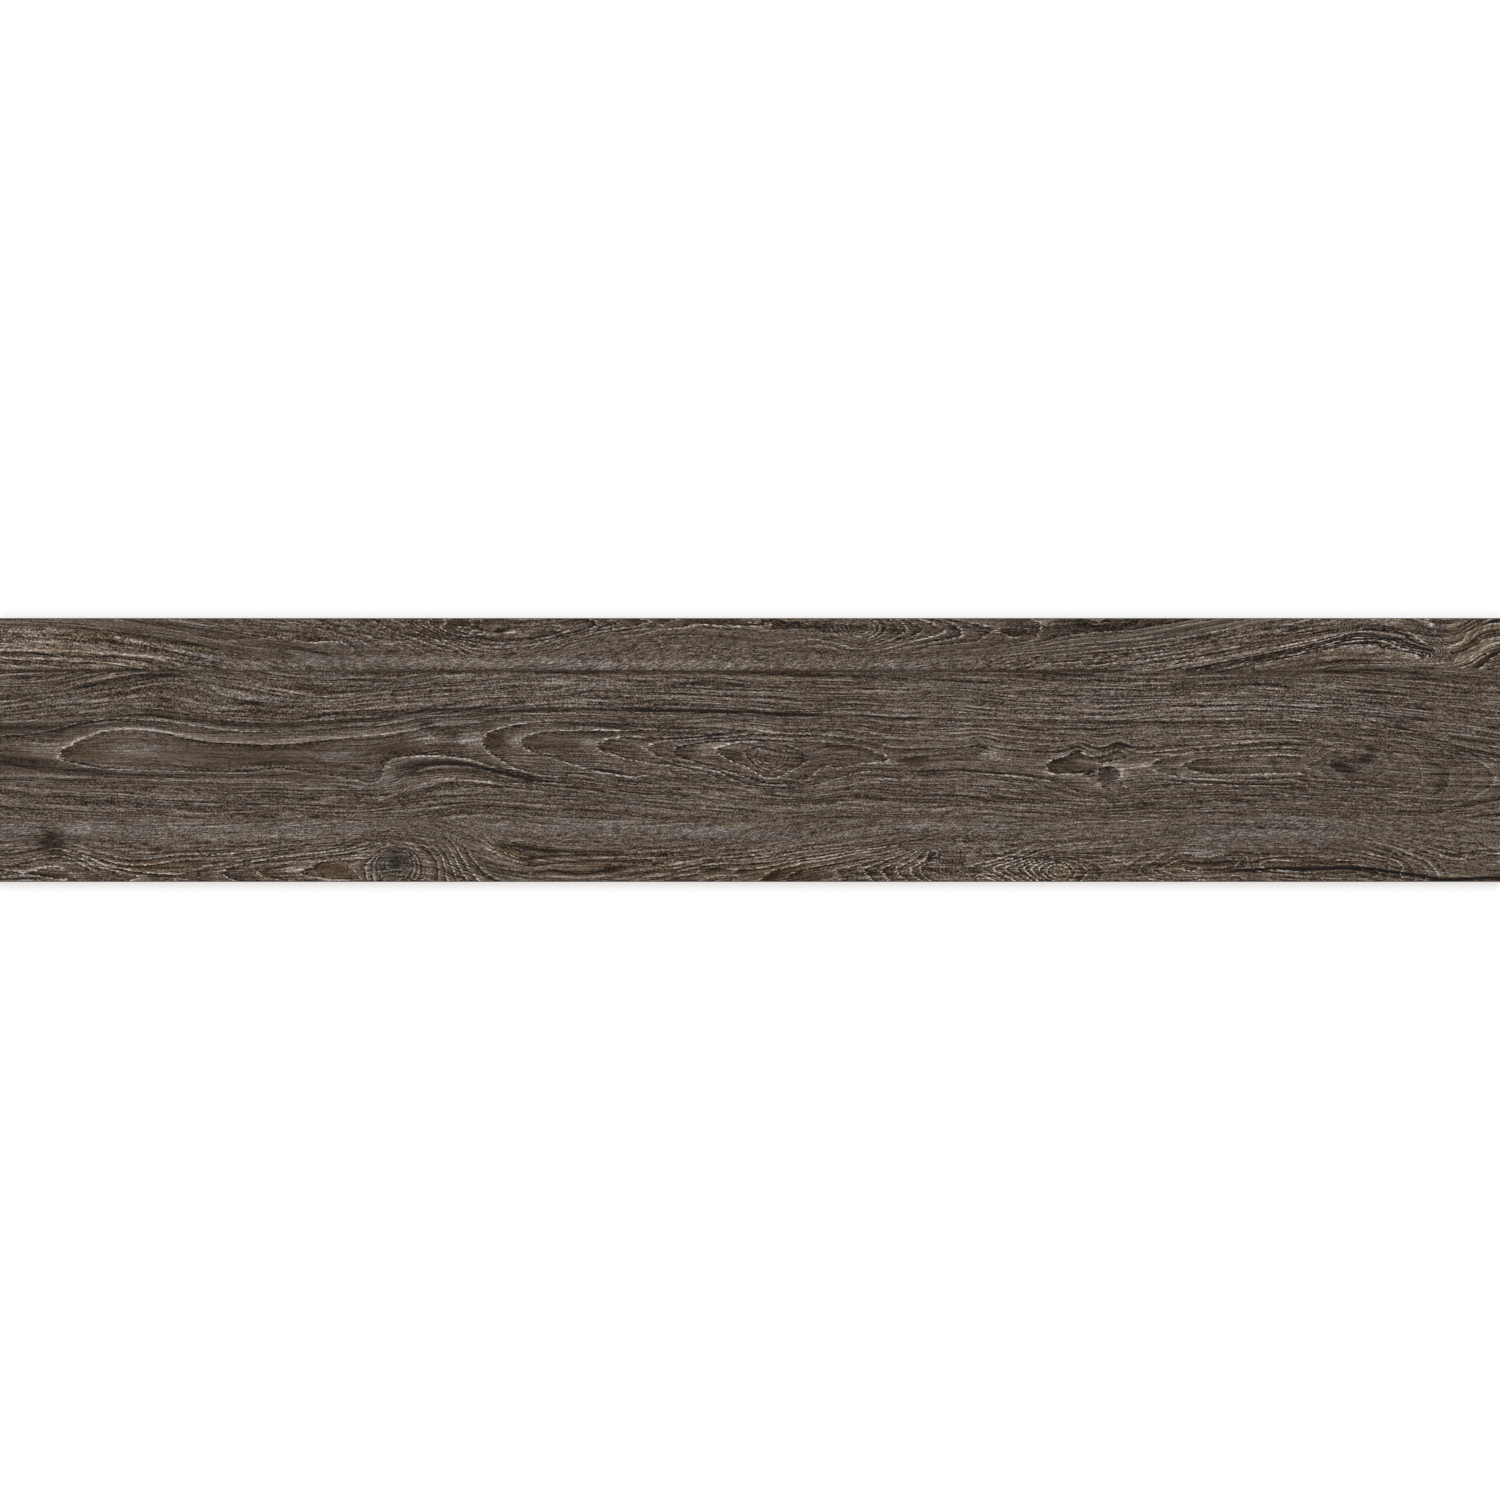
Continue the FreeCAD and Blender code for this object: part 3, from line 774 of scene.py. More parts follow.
CONTOURS_MIDDLE = (
    Contour(8, ((0, 117.4), (28, 116), (55, 112), (83, 105), (111, 101), (139, 101.5), (166, 103),
        (194, 107.7), (222, 112), (250, 113.8), (277, 113.8), (305, 112), (347, 109), (388, 106.3),
        (416, 101), (433, 97.5), (450, 98))),
    Contour(7, ((427, 109), (410, 113), (388, 116), (347, 119.4), (305, 124.3), (277, 126.3), (250, 125.7),
        (216, 123.8), (189, 120.2), (161, 113.8), (139, 112), (116, 112), (97, 116), (80, 123), (64, 132),
        (60, 136.5), (66, 143), (89, 148), (111, 150), (144, 151.5), (177, 152.6), (211, 153.5),
        (250, 153.5), (277, 150), (299, 152.6), (319, 156), (347, 160.4), (374, 164.5), (381, 159),
        (386, 149), (392, 142), (402, 138.8), (424, 137.6), (449, 138.2), (467, 141), (483, 145),
        (500, 151), (516, 155))),
    Contour(8, ((398, 163), (410, 156), (425, 151), (440, 148.5), (465, 148.5), (490, 153.5), (520, 161),
        (560, 167))),
    Contour(9, ((388, 178), (402, 174), (416, 169), (433, 162), (449, 160), (500, 164), (560, 168))),
    Contour(6, ((541, 103.5), (522, 106), (505, 109), (491.6, 113.5), (486, 119), (484.7, 123.5),
        (486.5, 129), (492, 135.4), (505, 144.5), (517, 150.7), (545, 158))),
    Contour(5, ((640, 112), (622, 113), (605, 112.7), (566, 113.2), (544, 113.8), (530, 117.4),
        (522, 121.5), (520.7, 125), (524, 129), (533, 132.7), (561, 142.4), (589, 150.7), (628, 157.6))),
    Contour(4, ((700, 119), (661, 119.5), (633, 118.8), (613.6, 120), (602, 123), (597, 126.5),
        (601, 130.5), (611, 135.4), (644, 143.7), (686, 149.5), (720, 155))),
    Contour(3, ((730, 119), (686, 121.6), (661, 123.8), (650, 127), (648, 130), (653, 135), (666, 141),
        (694, 149.3), (725, 157))),
    Contour(2, ((888, 141), (877, 135), (860, 129), (835, 125), (800, 122), (760, 121), (716, 122.5),
        (700, 124.3), (683, 126.6), (675, 130), (673, 133), (677, 137.5), (686, 141.5), (713.5, 149.3),
        (741, 157.6))),
    Contour(1, ((807, 138), (798, 132), (783, 126.5), (763, 124.3), (744, 124.3), (727, 127.7),
        (719, 130.5), (717.5, 133), (721, 137.5), (727, 141), (749.5, 150.7), (769, 160), (790, 153),
        (803, 145), (807, 138))),
    Contour(2, ((1117, 131), (1110, 133.5), (1103, 136.5), (1095, 138.5), (1087, 137.5), (1082, 135),
        (1077, 132), (1072, 133.5), (1066, 137), (1058, 141), (1050, 144), (1045, 149), (1048, 154),
        (1056, 156), (1064, 156), (1072, 155), (1080, 155), (1087, 158.5), (1093, 164), (1100, 169),
        (1110, 173))),
    Contour(2, ((1097.5, 156.5), (1099, 161.5), (1103, 165), (1108, 166), (1114, 164.5), (1118, 160.5),
        (1119, 156), (1117.5, 151.5), (1113.5, 148.5), (1108, 147.5), (1102.5, 149), (1099, 152.5),
        (1097.5, 156.5)), 0.4),
    Contour(4, ((1060, 126.5), (1078, 124), (1086, 126), (1095, 128), (1105, 127.5), (1113, 124.5),
        (1120, 123), (1128, 126.5), (1145, 128), (1165, 127), (1190, 125.5), (1215, 123)), 0.05),
    Contour(2, ((1270, 129.5), (1240, 131.5), (1210, 133.5), (1190, 135), (1178, 137), (1165, 140),
        (1155, 143.5), (1150, 147.5), (1154, 152), (1163, 155), (1175, 157.5), (1195, 159.5), (1220, 161),
        (1260, 162)), 1.1),
    Contour(1, ((1275, 137.5), (1240, 139), (1220, 140), (1205, 140.5), (1194, 142), (1188, 144.5),
        (1184, 148), (1189, 151), (1197, 153.5), (1210, 155), (1225, 155.5), (1250, 155.5), (1275, 155)),
        0.7),
    Contour(1, ((1360, 128), (1380, 131), (1395, 137), (1403, 143), (1409, 150), (1409, 158), (1400, 165),
        (1380, 170), (1350, 170)), 0.2),
    Contour(2, ((1370, 122), (1395, 128), (1410, 137), (1418, 148), (1420, 158), (1418, 166), (1408, 172),
        (1385, 176), (1350, 177)), 0.2),
    Contour(3, ((1380, 118), (1405, 126), (1425, 139), (1438, 146), (1448, 154), (1447, 163), (1440, 173),
        (1425, 180), (1400, 183), (1350, 184)), 0.3),
    Contour(4, ((1400, 117), (1430, 128), (1450, 139), (1462, 148), (1470, 156), (1471, 166), (1462, 175),
        (1440, 183), (1400, 188)), 0.2),
    Contour(5, ((1420, 119), (1450, 131), (1475, 143), (1490, 154), (1492, 163), (1487, 170), (1478, 176),
        (1455, 186), (1430, 193), (1400, 194)), 0.2),
    Contour(6, ((1400, 198), (1430, 195), (1450, 192), (1470, 189), (1490, 184.5), (1500, 181)), 0.4),
    Contour(7, ((1390, 111), (1415, 116), (1430, 120), (1450, 126), (1470, 130), (1500, 137)), 0.5),
)
CONTOURS_NEAR = (
    Contour(1, ((0, 251), (10, 253), (20, 254.5), (28, 255), (35, 253), (40, 251), (50, 249.2), (60, 249),
        (67, 252), (72, 256), (76, 261), (78, 264))),
    Contour(2, ((0, 246), (15, 246), (30, 243), (45, 240.5), (60, 239), (72, 241), (80, 244), (88, 248),
        (95, 252), (100, 256), (103, 260), (102, 264))),
    Contour(3, ((0, 243), (15, 243), (30, 240), (45, 237), (57, 235), (65, 236), (72, 239), (82, 243),
        (92, 248), (105, 250.5), (118, 253.5), (128, 256), (139, 258), (136, 261), (129, 264))),
    Contour(4, ((15, 240), (35, 236), (50, 233), (60, 231), (70, 233), (82, 238), (92, 242), (102, 246),
        (115, 249.5), (130, 252), (145, 254), (160, 255.5), (175, 256), (188, 255), (197, 252), (207, 249),
        (215, 247.5), (225, 246.5), (240, 244), (250, 242), (260, 239.5), (275, 237), (290, 235.2),
        (305, 233.5), (320, 232), (340, 229), (352, 226), (370, 221))),
    Contour(5, ((70, 231), (85, 235), (100, 240.5), (115, 245), (128, 247), (145, 247.5), (158, 246.5),
        (170, 244.5), (185, 242.5), (200, 242), (215, 243), (230, 241), (250, 238), (275, 234), (300, 231),
        (330, 228), (350, 224))),
    Contour(3, ((240, 263.5), (230, 260), (226, 258), (223, 255), (225, 252), (230, 250), (237, 248),
        (245, 246), (253, 244.5), (262, 242.3), (275, 240.5), (290, 239), (305, 237), (322, 235),
        (340, 233), (352, 231), (365, 228), (377, 225), (390, 221))),
    Contour(2, ((280, 262), (268, 259), (264, 257), (260, 254.5), (266, 251), (278, 248), (290, 244),
        (300, 242), (310, 240.3), (325, 238), (345, 235), (360, 231), (372, 227.5), (385, 224), (400, 221),
        (412, 222), (421, 226), (430, 233), (436, 241), (439, 250), (438, 257), (436, 264))),
    Contour(1, ((345, 262.5), (330, 261), (318, 259.5), (308, 257), (298, 254.5), (303, 252), (312, 249),
        (318, 246), (325, 243), (335, 241.5), (350, 241), (358, 239.5), (365, 236), (373, 232),
        (382, 228.5), (395, 225), (408, 225.5), (418, 230), (427, 238), (431, 247), (431, 256),
        (429, 264))),
    Contour(1, ((363, 264), (361, 259), (358, 256), (354, 253), (351, 250), (353, 247), (358, 244),
        (366, 241), (376, 235), (384, 231), (394, 228), (405, 229), (414, 233), (421, 240), (425, 249),
        (424, 258), (421, 264))),
    Contour(2, ((371, 264), (369, 258), (369, 252), (367, 248), (369, 245), (373, 241), (379, 235),
        (387, 231), (396, 230), (406, 231.5), (414, 236), (419, 243), (421, 250), (419, 258), (416, 264))),
    Contour(3, ((376, 264), (374, 257), (373, 250), (375, 244), (380, 238), (388, 233), (397, 231.3),
        (408, 234), (414, 240), (417, 247), (416, 256), (411, 263))),
    Contour(4, ((380, 263), (378, 255), (378, 247), (381, 240), (387, 234.5), (396, 232), (405, 234),
        (411, 240), (413.5, 247), (412, 255), (407, 261), (398, 264))),
    Contour(3, ((405, 218), (420, 221), (430, 226), (438, 234), (443, 243), (446, 252), (447, 260),
        (447, 264))),
    Contour(4, ((430, 221), (440, 228), (447, 236), (451, 245), (454, 254), (457, 263))),
    Contour(5, ((440, 222), (448, 230), (454, 239), (459, 248), (464, 256), (468, 263))),
    Contour(6, ((448, 220), (456, 228), (461, 237), (467, 247), (473, 255), (480, 263))),
    Contour(7, ((455, 219), (464, 227), (470, 236), (477, 246), (486, 254), (497, 261))),
    Contour(8, ((460, 217), (475, 224), (488, 231), (498, 236), (502, 239), (512, 241), (525, 246))),
    Contour(13, ((505, 226), (525, 227.5), (545, 230), (560, 230.5), (600, 230.5))),
    Contour(12, ((525, 240), (540, 239.5), (550, 238), (562, 236), (580, 236.5), (600, 235.5), (615, 235))),
    Contour(10, ((530, 247), (540, 246), (550, 243), (565, 241.5), (580, 241), (600, 240), (613, 240),
        (640, 241), (660, 241))),
    Contour(8, ((510, 252), (520, 253), (530, 255), (540, 255), (548, 252), (553, 250), (560, 252),
        (575, 255), (590, 256.5), (598, 252), (606, 249.5), (620, 249), (637, 251), (655, 252))),
    Contour(12, ((610, 256), (625, 255), (645, 252), (660, 249), (675, 246.5), (690, 244), (705, 242),
        (720, 240.5), (738, 239.5), (760, 237), (790, 233))),
    Contour(11, ((618, 262), (640, 258), (655, 256), (668, 252), (680, 250), (695, 247), (710, 244),
        (725, 243), (740, 242), (750, 241), (762, 239), (780, 238), (800, 235.5), (820, 233), (845, 230.5),
        (862, 228.5), (880, 225), (895, 221.5))),
    Contour(10, ((630, 264), (645, 261.5), (655, 259), (670, 256), (685, 252.5), (700, 250), (712, 247.5),
        (727, 246), (745, 246), (762, 244), (780, 243), (795, 240.5), (810, 238), (826, 235.5), (842, 233),
        (860, 230), (880, 227), (900, 224), (918, 221))),
    Contour(9, ((665, 263), (680, 258), (695, 256), (702, 251.5), (712, 249.5), (730, 251.5), (750, 250.5),
        (765, 249), (776, 246.5), (786, 244), (800, 242), (815, 240.5), (830, 238.5), (846, 235.5),
        (866, 232), (886, 229.5), (905, 226.5), (925, 222), (932, 219.5))),
    Contour(8, ((757, 264), (764, 258), (772, 254), (780, 251), (792, 248), (803, 245.5), (817, 243.5),
        (832, 241), (850, 237), (870, 234), (890, 231), (907, 227.5))),
    Contour(7, ((785, 263), (790, 257), (800, 252), (815, 249), (830, 246.5), (850, 243), (870, 238),
        (885, 234.5), (900, 231), (912, 228))),
    Contour(6, ((842, 264), (840, 258), (842, 254), (838, 251.5), (846, 250), (856, 248), (866, 245),
        (876, 242), (886, 239), (896, 236), (905, 233), (913, 229.5))),
    Contour(5, ((873, 264), (870, 260), (868, 255), (864.5, 251), (870, 248.5), (880, 245), (890, 241),
        (900, 237), (910, 233), (918, 229.5))),
    Contour(4, ((890, 264), (888, 260), (884, 256), (881.5, 252), (887, 249), (895, 246), (903, 242),
        (910, 239), (917, 235), (922, 230.5))),
    Contour(3, ((909, 263.5), (905, 260), (899, 256), (896, 252.5), (900, 249), (907, 245), (914, 241),
        (919, 237), (922, 233), (924, 230))),
    Contour(2, ((924, 264), (918, 260), (913, 257), (911, 253), (914, 249), (920, 246), (923, 242),
        (924, 237), (927, 233))),
    Contour(1, ((937, 264), (930, 261), (926, 257), (923, 253), (925, 249), (929, 246.5))),
    Contour(0, ((950, 263), (940, 260), (932, 257), (928, 253), (928, 249), (932, 246.5))),
    Contour(8, ((1010, 238.5), (1000, 241.5), (985, 245), (975, 247.5), (970, 250), (975, 254), (985, 258),
        (997, 263))),
    Contour(7, ((1020, 239.5), (1013, 241), (1005, 243), (995, 246), (986, 248), (981, 250), (985, 253.5),
        (993, 257), (1001, 261), (1007, 264))),
    Contour(6, ((1027, 239.5), (1018, 242), (1008, 245), (998, 248), (993, 250.5), (1000, 254.5),
        (1008, 259), (1017, 264))),
    Contour(5, ((1037, 239.5), (1030, 242), (1020, 245), (1010, 248.5), (1004, 251), (1010, 255),
        (1018, 259.5), (1025, 264))),
    Contour(4, ((1040, 240), (1030, 244), (1022, 247.5), (1017, 250.5), (1021, 255), (1027, 259.5),
        (1034, 264))),
    Contour(3, ((1046, 240.5), (1037, 243.5), (1029, 247), (1024, 250.5), (1028, 255), (1034, 260),
        (1040, 264))),
    Contour(2, ((1048, 243), (1041, 245), (1035, 248), (1031, 251.5), (1035, 256), (1041, 260.5),
        (1047, 264))),
    Contour(1, ((1052, 244), (1045, 247), (1039, 251.5), (1043, 257), (1050, 262))),
    Contour(1, ((1066, 246), (1072, 251), (1074, 256), (1071, 261))),
    Contour(2, ((1076, 246), (1083, 250), (1086, 254.5), (1083, 259), (1078, 263))),
    Contour(2, ((1178, 236.5), (1172, 240), (1165, 244), (1158, 248), (1150, 250.5), (1156, 254),
        (1170, 258.5), (1190, 260))),
    Contour(1, ((1235, 240.5), (1225, 242), (1212, 244), (1198, 244), (1188, 242.5), (1180, 242),
        (1174, 243.5), (1169, 246.5), (1163, 251), (1168, 254.5), (1180, 257), (1200, 257.5))),
    Contour(2, ((1262, 240), (1254, 241.5), (1250, 244.5), (1251, 248), (1256, 250.5))),
    Contour(1, ((1268, 243), (1261, 244), (1257.5, 247), (1260, 250))),
    Contour(2, ((1345, 242), (1360, 242.5), (1371, 244), (1377, 246.5), (1372, 249.5))),
    Contour(3, ((1365, 240.5), (1378, 242), (1387, 244), (1390, 247), (1386, 250.5))),
    Contour(4, ((1378, 238.5), (1390, 241.5), (1399, 246), (1402, 250), (1398, 253))),
    Contour(5, ((1390, 237.5), (1402, 242), (1408, 248), (1412, 253))),
    Contour(6, ((1400, 238), (1413, 243), (1421, 248), (1426, 254))),
    Contour(7, ((1410, 237.5), (1424, 243), (1431, 249.5), (1437, 257))),
    Contour(8, ((1420, 236), (1434, 241.5), (1440, 249), (1447, 257))),
    Contour(9, ((1425, 233.5), (1440, 239), (1455, 241.5), (1470, 240.5), (1485, 238), (1500, 236))),
)


@dataclass(frozen=True)
class Figure:
    """The whole printed figure: three boards between two joints, with their marks.

    Attributes:
        far: The board along the far long edge.
        middle: The board with the row of arches.
        near: The board along the near long edge.
    """

    far: Board
    middle: Board
    near: Board

    def draw(self, xs: np.ndarray, ds: np.ndarray) -> dict[Layer, np.ndarray]:
        """Works out every layer of the figure on a grid.

        Args:
            xs: The grid's places along the plank, in drawing units, rising.
            ds: The grid's places across the plank, in drawing units, rising.

        Returns:
            The layers, one row for each place across, with one value or one triple for each place.
        """
        x, d = np.meshgrid(xs, ds)
        far_joint = smoothed(FAR_JOINT, x, 4.0)
        near_joint = smoothed(NEAR_JOINT, x, 4.0)
        on_far, on_near = d < far_joint, d >= near_joint
        boards = []
        for board in (self.far, self.middle, self.near):
            level, fibre = board.rings(x, d)
            added, bold = board.drawn(xs, ds)
            across, along = np.gradient(level + added, ds, xs)
            boards.append((level + added, np.hypot(along, across), np.abs(along), fibre, bold))
        level, pace, run, fibre, bold = (
            np.where(on_far, in_far, np.where(on_near, in_near, in_middle))
            for in_far, in_middle, in_near in zip(*boards))
        strength = self.ring_strength(on_far, on_near, fibre) + bold
        tone, warmth = np.zeros_like(x), np.zeros_like(x)
        fuzz = np.zeros_like(x)
        # The wood inside the arches is smoother
        contrast = 1.0 - 0.25 * np.exp(-((fibre / 16.0) ** 2))
        for streak in STREAKS_FAR + STREAKS_MIDDLE + STREAKS_NEAR:
            mask = streak.mask(x, d)
            tone += streak.tone * mask
            warmth += streak.warmth * mask
        for cloud in CLOUDS:
            mask = cloud.mask(x, d)
            tone += cloud.tone * mask
            warmth += cloud.warmth * mask
            contrast += cloud.contrast * mask
            fuzz += cloud.fuzz * mask
            strength += cloud.rings * mask
        fuzz += on_far * 0.35 * stretch(x, (180.0, 320.0), (1060.0, 1180.0))
        # Lime lies in the grain beside both joints, on the far board only along its middle
        lime = np.exp(-(((d - near_joint - 14.0) / 13.0) ** 2)) * on_near
        beside_far = np.exp(-(((d - far_joint + 7.0) / 9.0) ** 2)) * on_far
        lime += beside_far * stretch(x, (210.0, 300.0), (920.0, 1120.0))
        fuzz += 0.7 * lime
        strength = np.clip(strength * (1.0 - 0.85 * lime), 0.0, 1.6)
        warmth += 0.25 * on_near * (1.0 - lime) - 0.15 * lime
        return {
            Layer.RING: level,
            Layer.PACE: pace * MM / UNIT,
            Layer.RUN: run * MM / UNIT,
            Layer.FIBRE: fibre * UNIT / MM,
            Layer.PAINT: np.stack((tone, warmth, contrast), axis=-1),
            Layer.GRAIN: np.stack((strength, fuzz, lime), axis=-1),
        }

    def ring_strength(self, on_far: np.ndarray, on_near: np.ndarray, fibre: np.ndarray) -> np.ndarray:
        """Says how strongly the ring lines show.

        Args:
            on_far: Where the far board is.
            on_near: Where the near board is.
            fibre: The fibre coordinate.

        Returns:
            About 1 near the heart of the middle board, and less elsewhere.
        """
        off = np.abs(fibre - np.where(on_far, self.far.shift, np.where(on_near, self.near.shift, 0.0)))
        least = np.where(on_far, 0.42, np.where(on_near, 0.62, 0.34))
        return least + np.where(on_far, 0.35, np.where(on_near, 0.15, 0.62)) * np.exp(-((off / 27.0) ** 2))


FIGURE = Figure(
    far=Board(step=4.0, heart=FAR_HEART, depth=FAR_DEPTH, calm=5.0, shift=-400.0, waves=FAR_WAVES,
              contours=CONTOURS_FAR),
    middle=Board(step=5.5, heart=MIDDLE_HEART, depth=MIDDLE_DEPTH, calm=12.0, shift=0.0, waves=MIDDLE_WAVES,
                 contours=CONTOURS_MIDDLE),
    near=Board(step=4.0, heart=NEAR_HEART, depth=NEAR_DEPTH, calm=5.0, shift=400.0, contours=CONTOURS_NEAR),
)


# The building of node trees


@dataclass(frozen=True)
class Dashes:
    """The size of a noise of drawn-out dashes.

    Attributes:
        length: The dashes' length in millimetres.
        width: The dashes' width in millimetres.
        seed: Sets this noise apart from others.
    """

    length: float
    width: float
    seed: float


@dataclass(frozen=True)
class Wiring:
    """Adds nodes to one tree and joins them.

    Attributes:
        tree: The node tree that is being built.
    """

    tree: bpy.types.NodeTree

    def add(self, kind: str, settings: dict[str, object] | None = None, **inputs: Feed) -> bpy.types.Node:
        """Adds one node.

        Args:
            kind: The node's type name.
            settings: Its settings by name.
            **inputs: What feeds its inputs, by the input's name with _ for each space.

        Returns:
            The new node.
        """
        node = self.tree.nodes.new(kind)
        for name, value in (settings or {}).items():
            setattr(node, name, value)
        for name, source in inputs.items():
            wanted = name.replace("_", " ")
            self.feed(source, next(s for s in node.inputs if s.name == wanted and s.enabled))
        return node

    def feed(self, source: Feed, target: Socket) -> None:
        """Joins a socket to an input, or sets the input's value.

        Args:
            source: The socket or the value.
            target: The input.
        """
        if isinstance(source, Socket):
            self.tree.links.new(source, target)
        else:
            target.default_value = source

    def maths(self, operation: str, *terms: Feed, clamp: bool = False) -> Socket:
        """Adds a Math node.

        Args:
            operation: Its operation.
            *terms: What feeds its inputs in order.
            clamp: Whether its result stays between 0 and 1.

        Returns:
            Its result.
        """
        node = self.tree.nodes.new("ShaderNodeMath")
        node.operation, node.use_clamp = operation, clamp
        for term, target in zip(terms, node.inputs):
            self.feed(term, target)
        return node.outputs[0]

    def total(self, *terms: Feed) -> Socket:
        """Adds up any number of values.

        Args:
            *terms: What is added.

        Returns:
            The sum.
        """
        result = terms[0]
        for term in terms[1:]:
            result = self.maths("ADD", result, term)
        return result

    def ease(self, value: Feed, low: float, high: float, start: float = 0.0, end: float = 1.0) -> Socket:
        """Turns a range of values smoothly into another.

        Args:
            value: The value.
            low: Where the change starts.
            high: Where the change ends.
            start: The result up to low.
            end: The result from high on.

        Returns:
            The result.
        """
        node = self.tree.nodes.new("ShaderNodeMapRange")
        node.interpolation_type = "SMOOTHSTEP"
        for term, target in zip((value, low, high, start, end), node.inputs):
            self.feed(term, target)
        return node.outputs[0]

    def triple(self, x: Feed, y: Feed, z: Feed) -> Socket:
        """Combines three values into a vector.

        Args:
            x: The first value.
            y: The second value.
            z: The third value.

        Returns:
            The vector.
        """
        node = self.tree.nodes.new("ShaderNodeCombineXYZ")
        for term, target in zip((x, y, z), node.inputs):
            self.feed(term, target)
        return node.outputs[0]

    def parts(self, vector: Socket) -> tuple[Socket, Socket, Socket]:
        """Splits a vector.

        Args:
            vector: The vector.

        Returns:
            Its three values.
        """
        node = self.add("ShaderNodeSeparateXYZ", Vector=vector)
        return node.outputs[0], node.outputs[1], node.outputs[2]

    def noise(self, place: Socket, detail: float = 0.0, roughness: float = 0.5) -> Socket:
        """Adds a smooth noise whose grains are one unit of the place across.

        Args:
            place: Where the noise is read.
            detail: How many finer layers it has.
            roughness: How strong each finer layer is.

        Returns:
            The noise, from about -1 to 1.
        """
        node = self.add("ShaderNodeTexNoise", {"noise_dimensions": "3D"},
                        Vector=place, Scale=1.0, Detail=detail, Roughness=roughness)
        return self.maths("MULTIPLY_ADD", node.outputs[0], 2.0, -1.0)

    def dashes(self, along: Feed, across: Feed, size: Dashes) -> Socket:
        """Adds a noise of drawn-out dashes.

        Args:
            along: The coordinate along the fibres, in millimetres.
            across: The coordinate across the fibres, in millimetres.
            size: The dashes' size.

        Returns:
            The noise, from about -1 to 1.
        """
        return self.noise(self.triple(
            self.maths("DIVIDE", along, size.length), self.maths("DIVIDE", across, size.width), size.seed))

    def product(self, *terms: Feed) -> Socket:
        """Multiplies any number of values.

        Args:
            *terms: What is multiplied.

        Returns:
            The product.
        """
        result = terms[0]
        for term in terms[1:]:
            result = self.maths("MULTIPLY", result, term)
        return result


def new_group(kind: str, name: str, inputs: dict[str, float], outputs: dict[str, str]) -> tuple[
        bpy.types.NodeTree, Wiring, dict[str, Socket], bpy.types.Node]:
    """Starts a node group.

    Args:
        kind: The tree's type name.
        name: The group's name.
        inputs: The named number inputs and their usual values.
        outputs: The named outputs and their socket types.

    Returns:
        The group, its wiring, its input sockets by name and its output node.
    """
    group = bpy.data.node_groups.new(name, kind)
    if kind == "GeometryNodeTree":
        group.interface.new_socket("Geometry", in_out="INPUT", socket_type="NodeSocketGeometry")
    for label, usual in inputs.items():
        item = group.interface.new_socket(label, in_out="INPUT", socket_type="NodeSocketFloat")
        item.default_value = usual
    for label, socket_type in outputs.items():
        group.interface.new_socket(label, in_out="OUTPUT", socket_type=socket_type)
    wiring = Wiring(group)
    start = wiring.add("NodeGroupInput")
    sockets = {socket.name: socket for socket in start.outputs if socket.name}
    return group, wiring, sockets, wiring.add("NodeGroupOutput")


def linear(red: float, green: float, blue: float) -> tuple[float, float, float, float]:
    """Turns a screen colour from 0 to 255 into the linear colour that nodes take.

    Args:
        red: Its red.
        green: Its green.
        blue: Its blue.

    Returns:
        The linear colour with full opacity.
    """
    shares = (value / 255.0 for value in (red, green, blue))
    return (*(s / 12.92 if s <= 0.04045 else ((s + 0.055) / 1.055) ** 2.4 for s in shares), 1.0)


def place_group(wiring: Wiring, group: bpy.types.NodeTree, **inputs: Feed) -> bpy.types.Node:
    """Places a shader group in a material or another group.

    Args:
        wiring: The tree that it goes into.
        group: The group.
        **inputs: What feeds its inputs, by the input's name with _ for each space.

    Returns:
        The group's node.
    """
    node = wiring.add("ShaderNodeGroup", {"node_tree": group})
    for name, source in inputs.items():
        wiring.feed(source, node.inputs[name.replace("_", " ")])
    return node


# The finishes


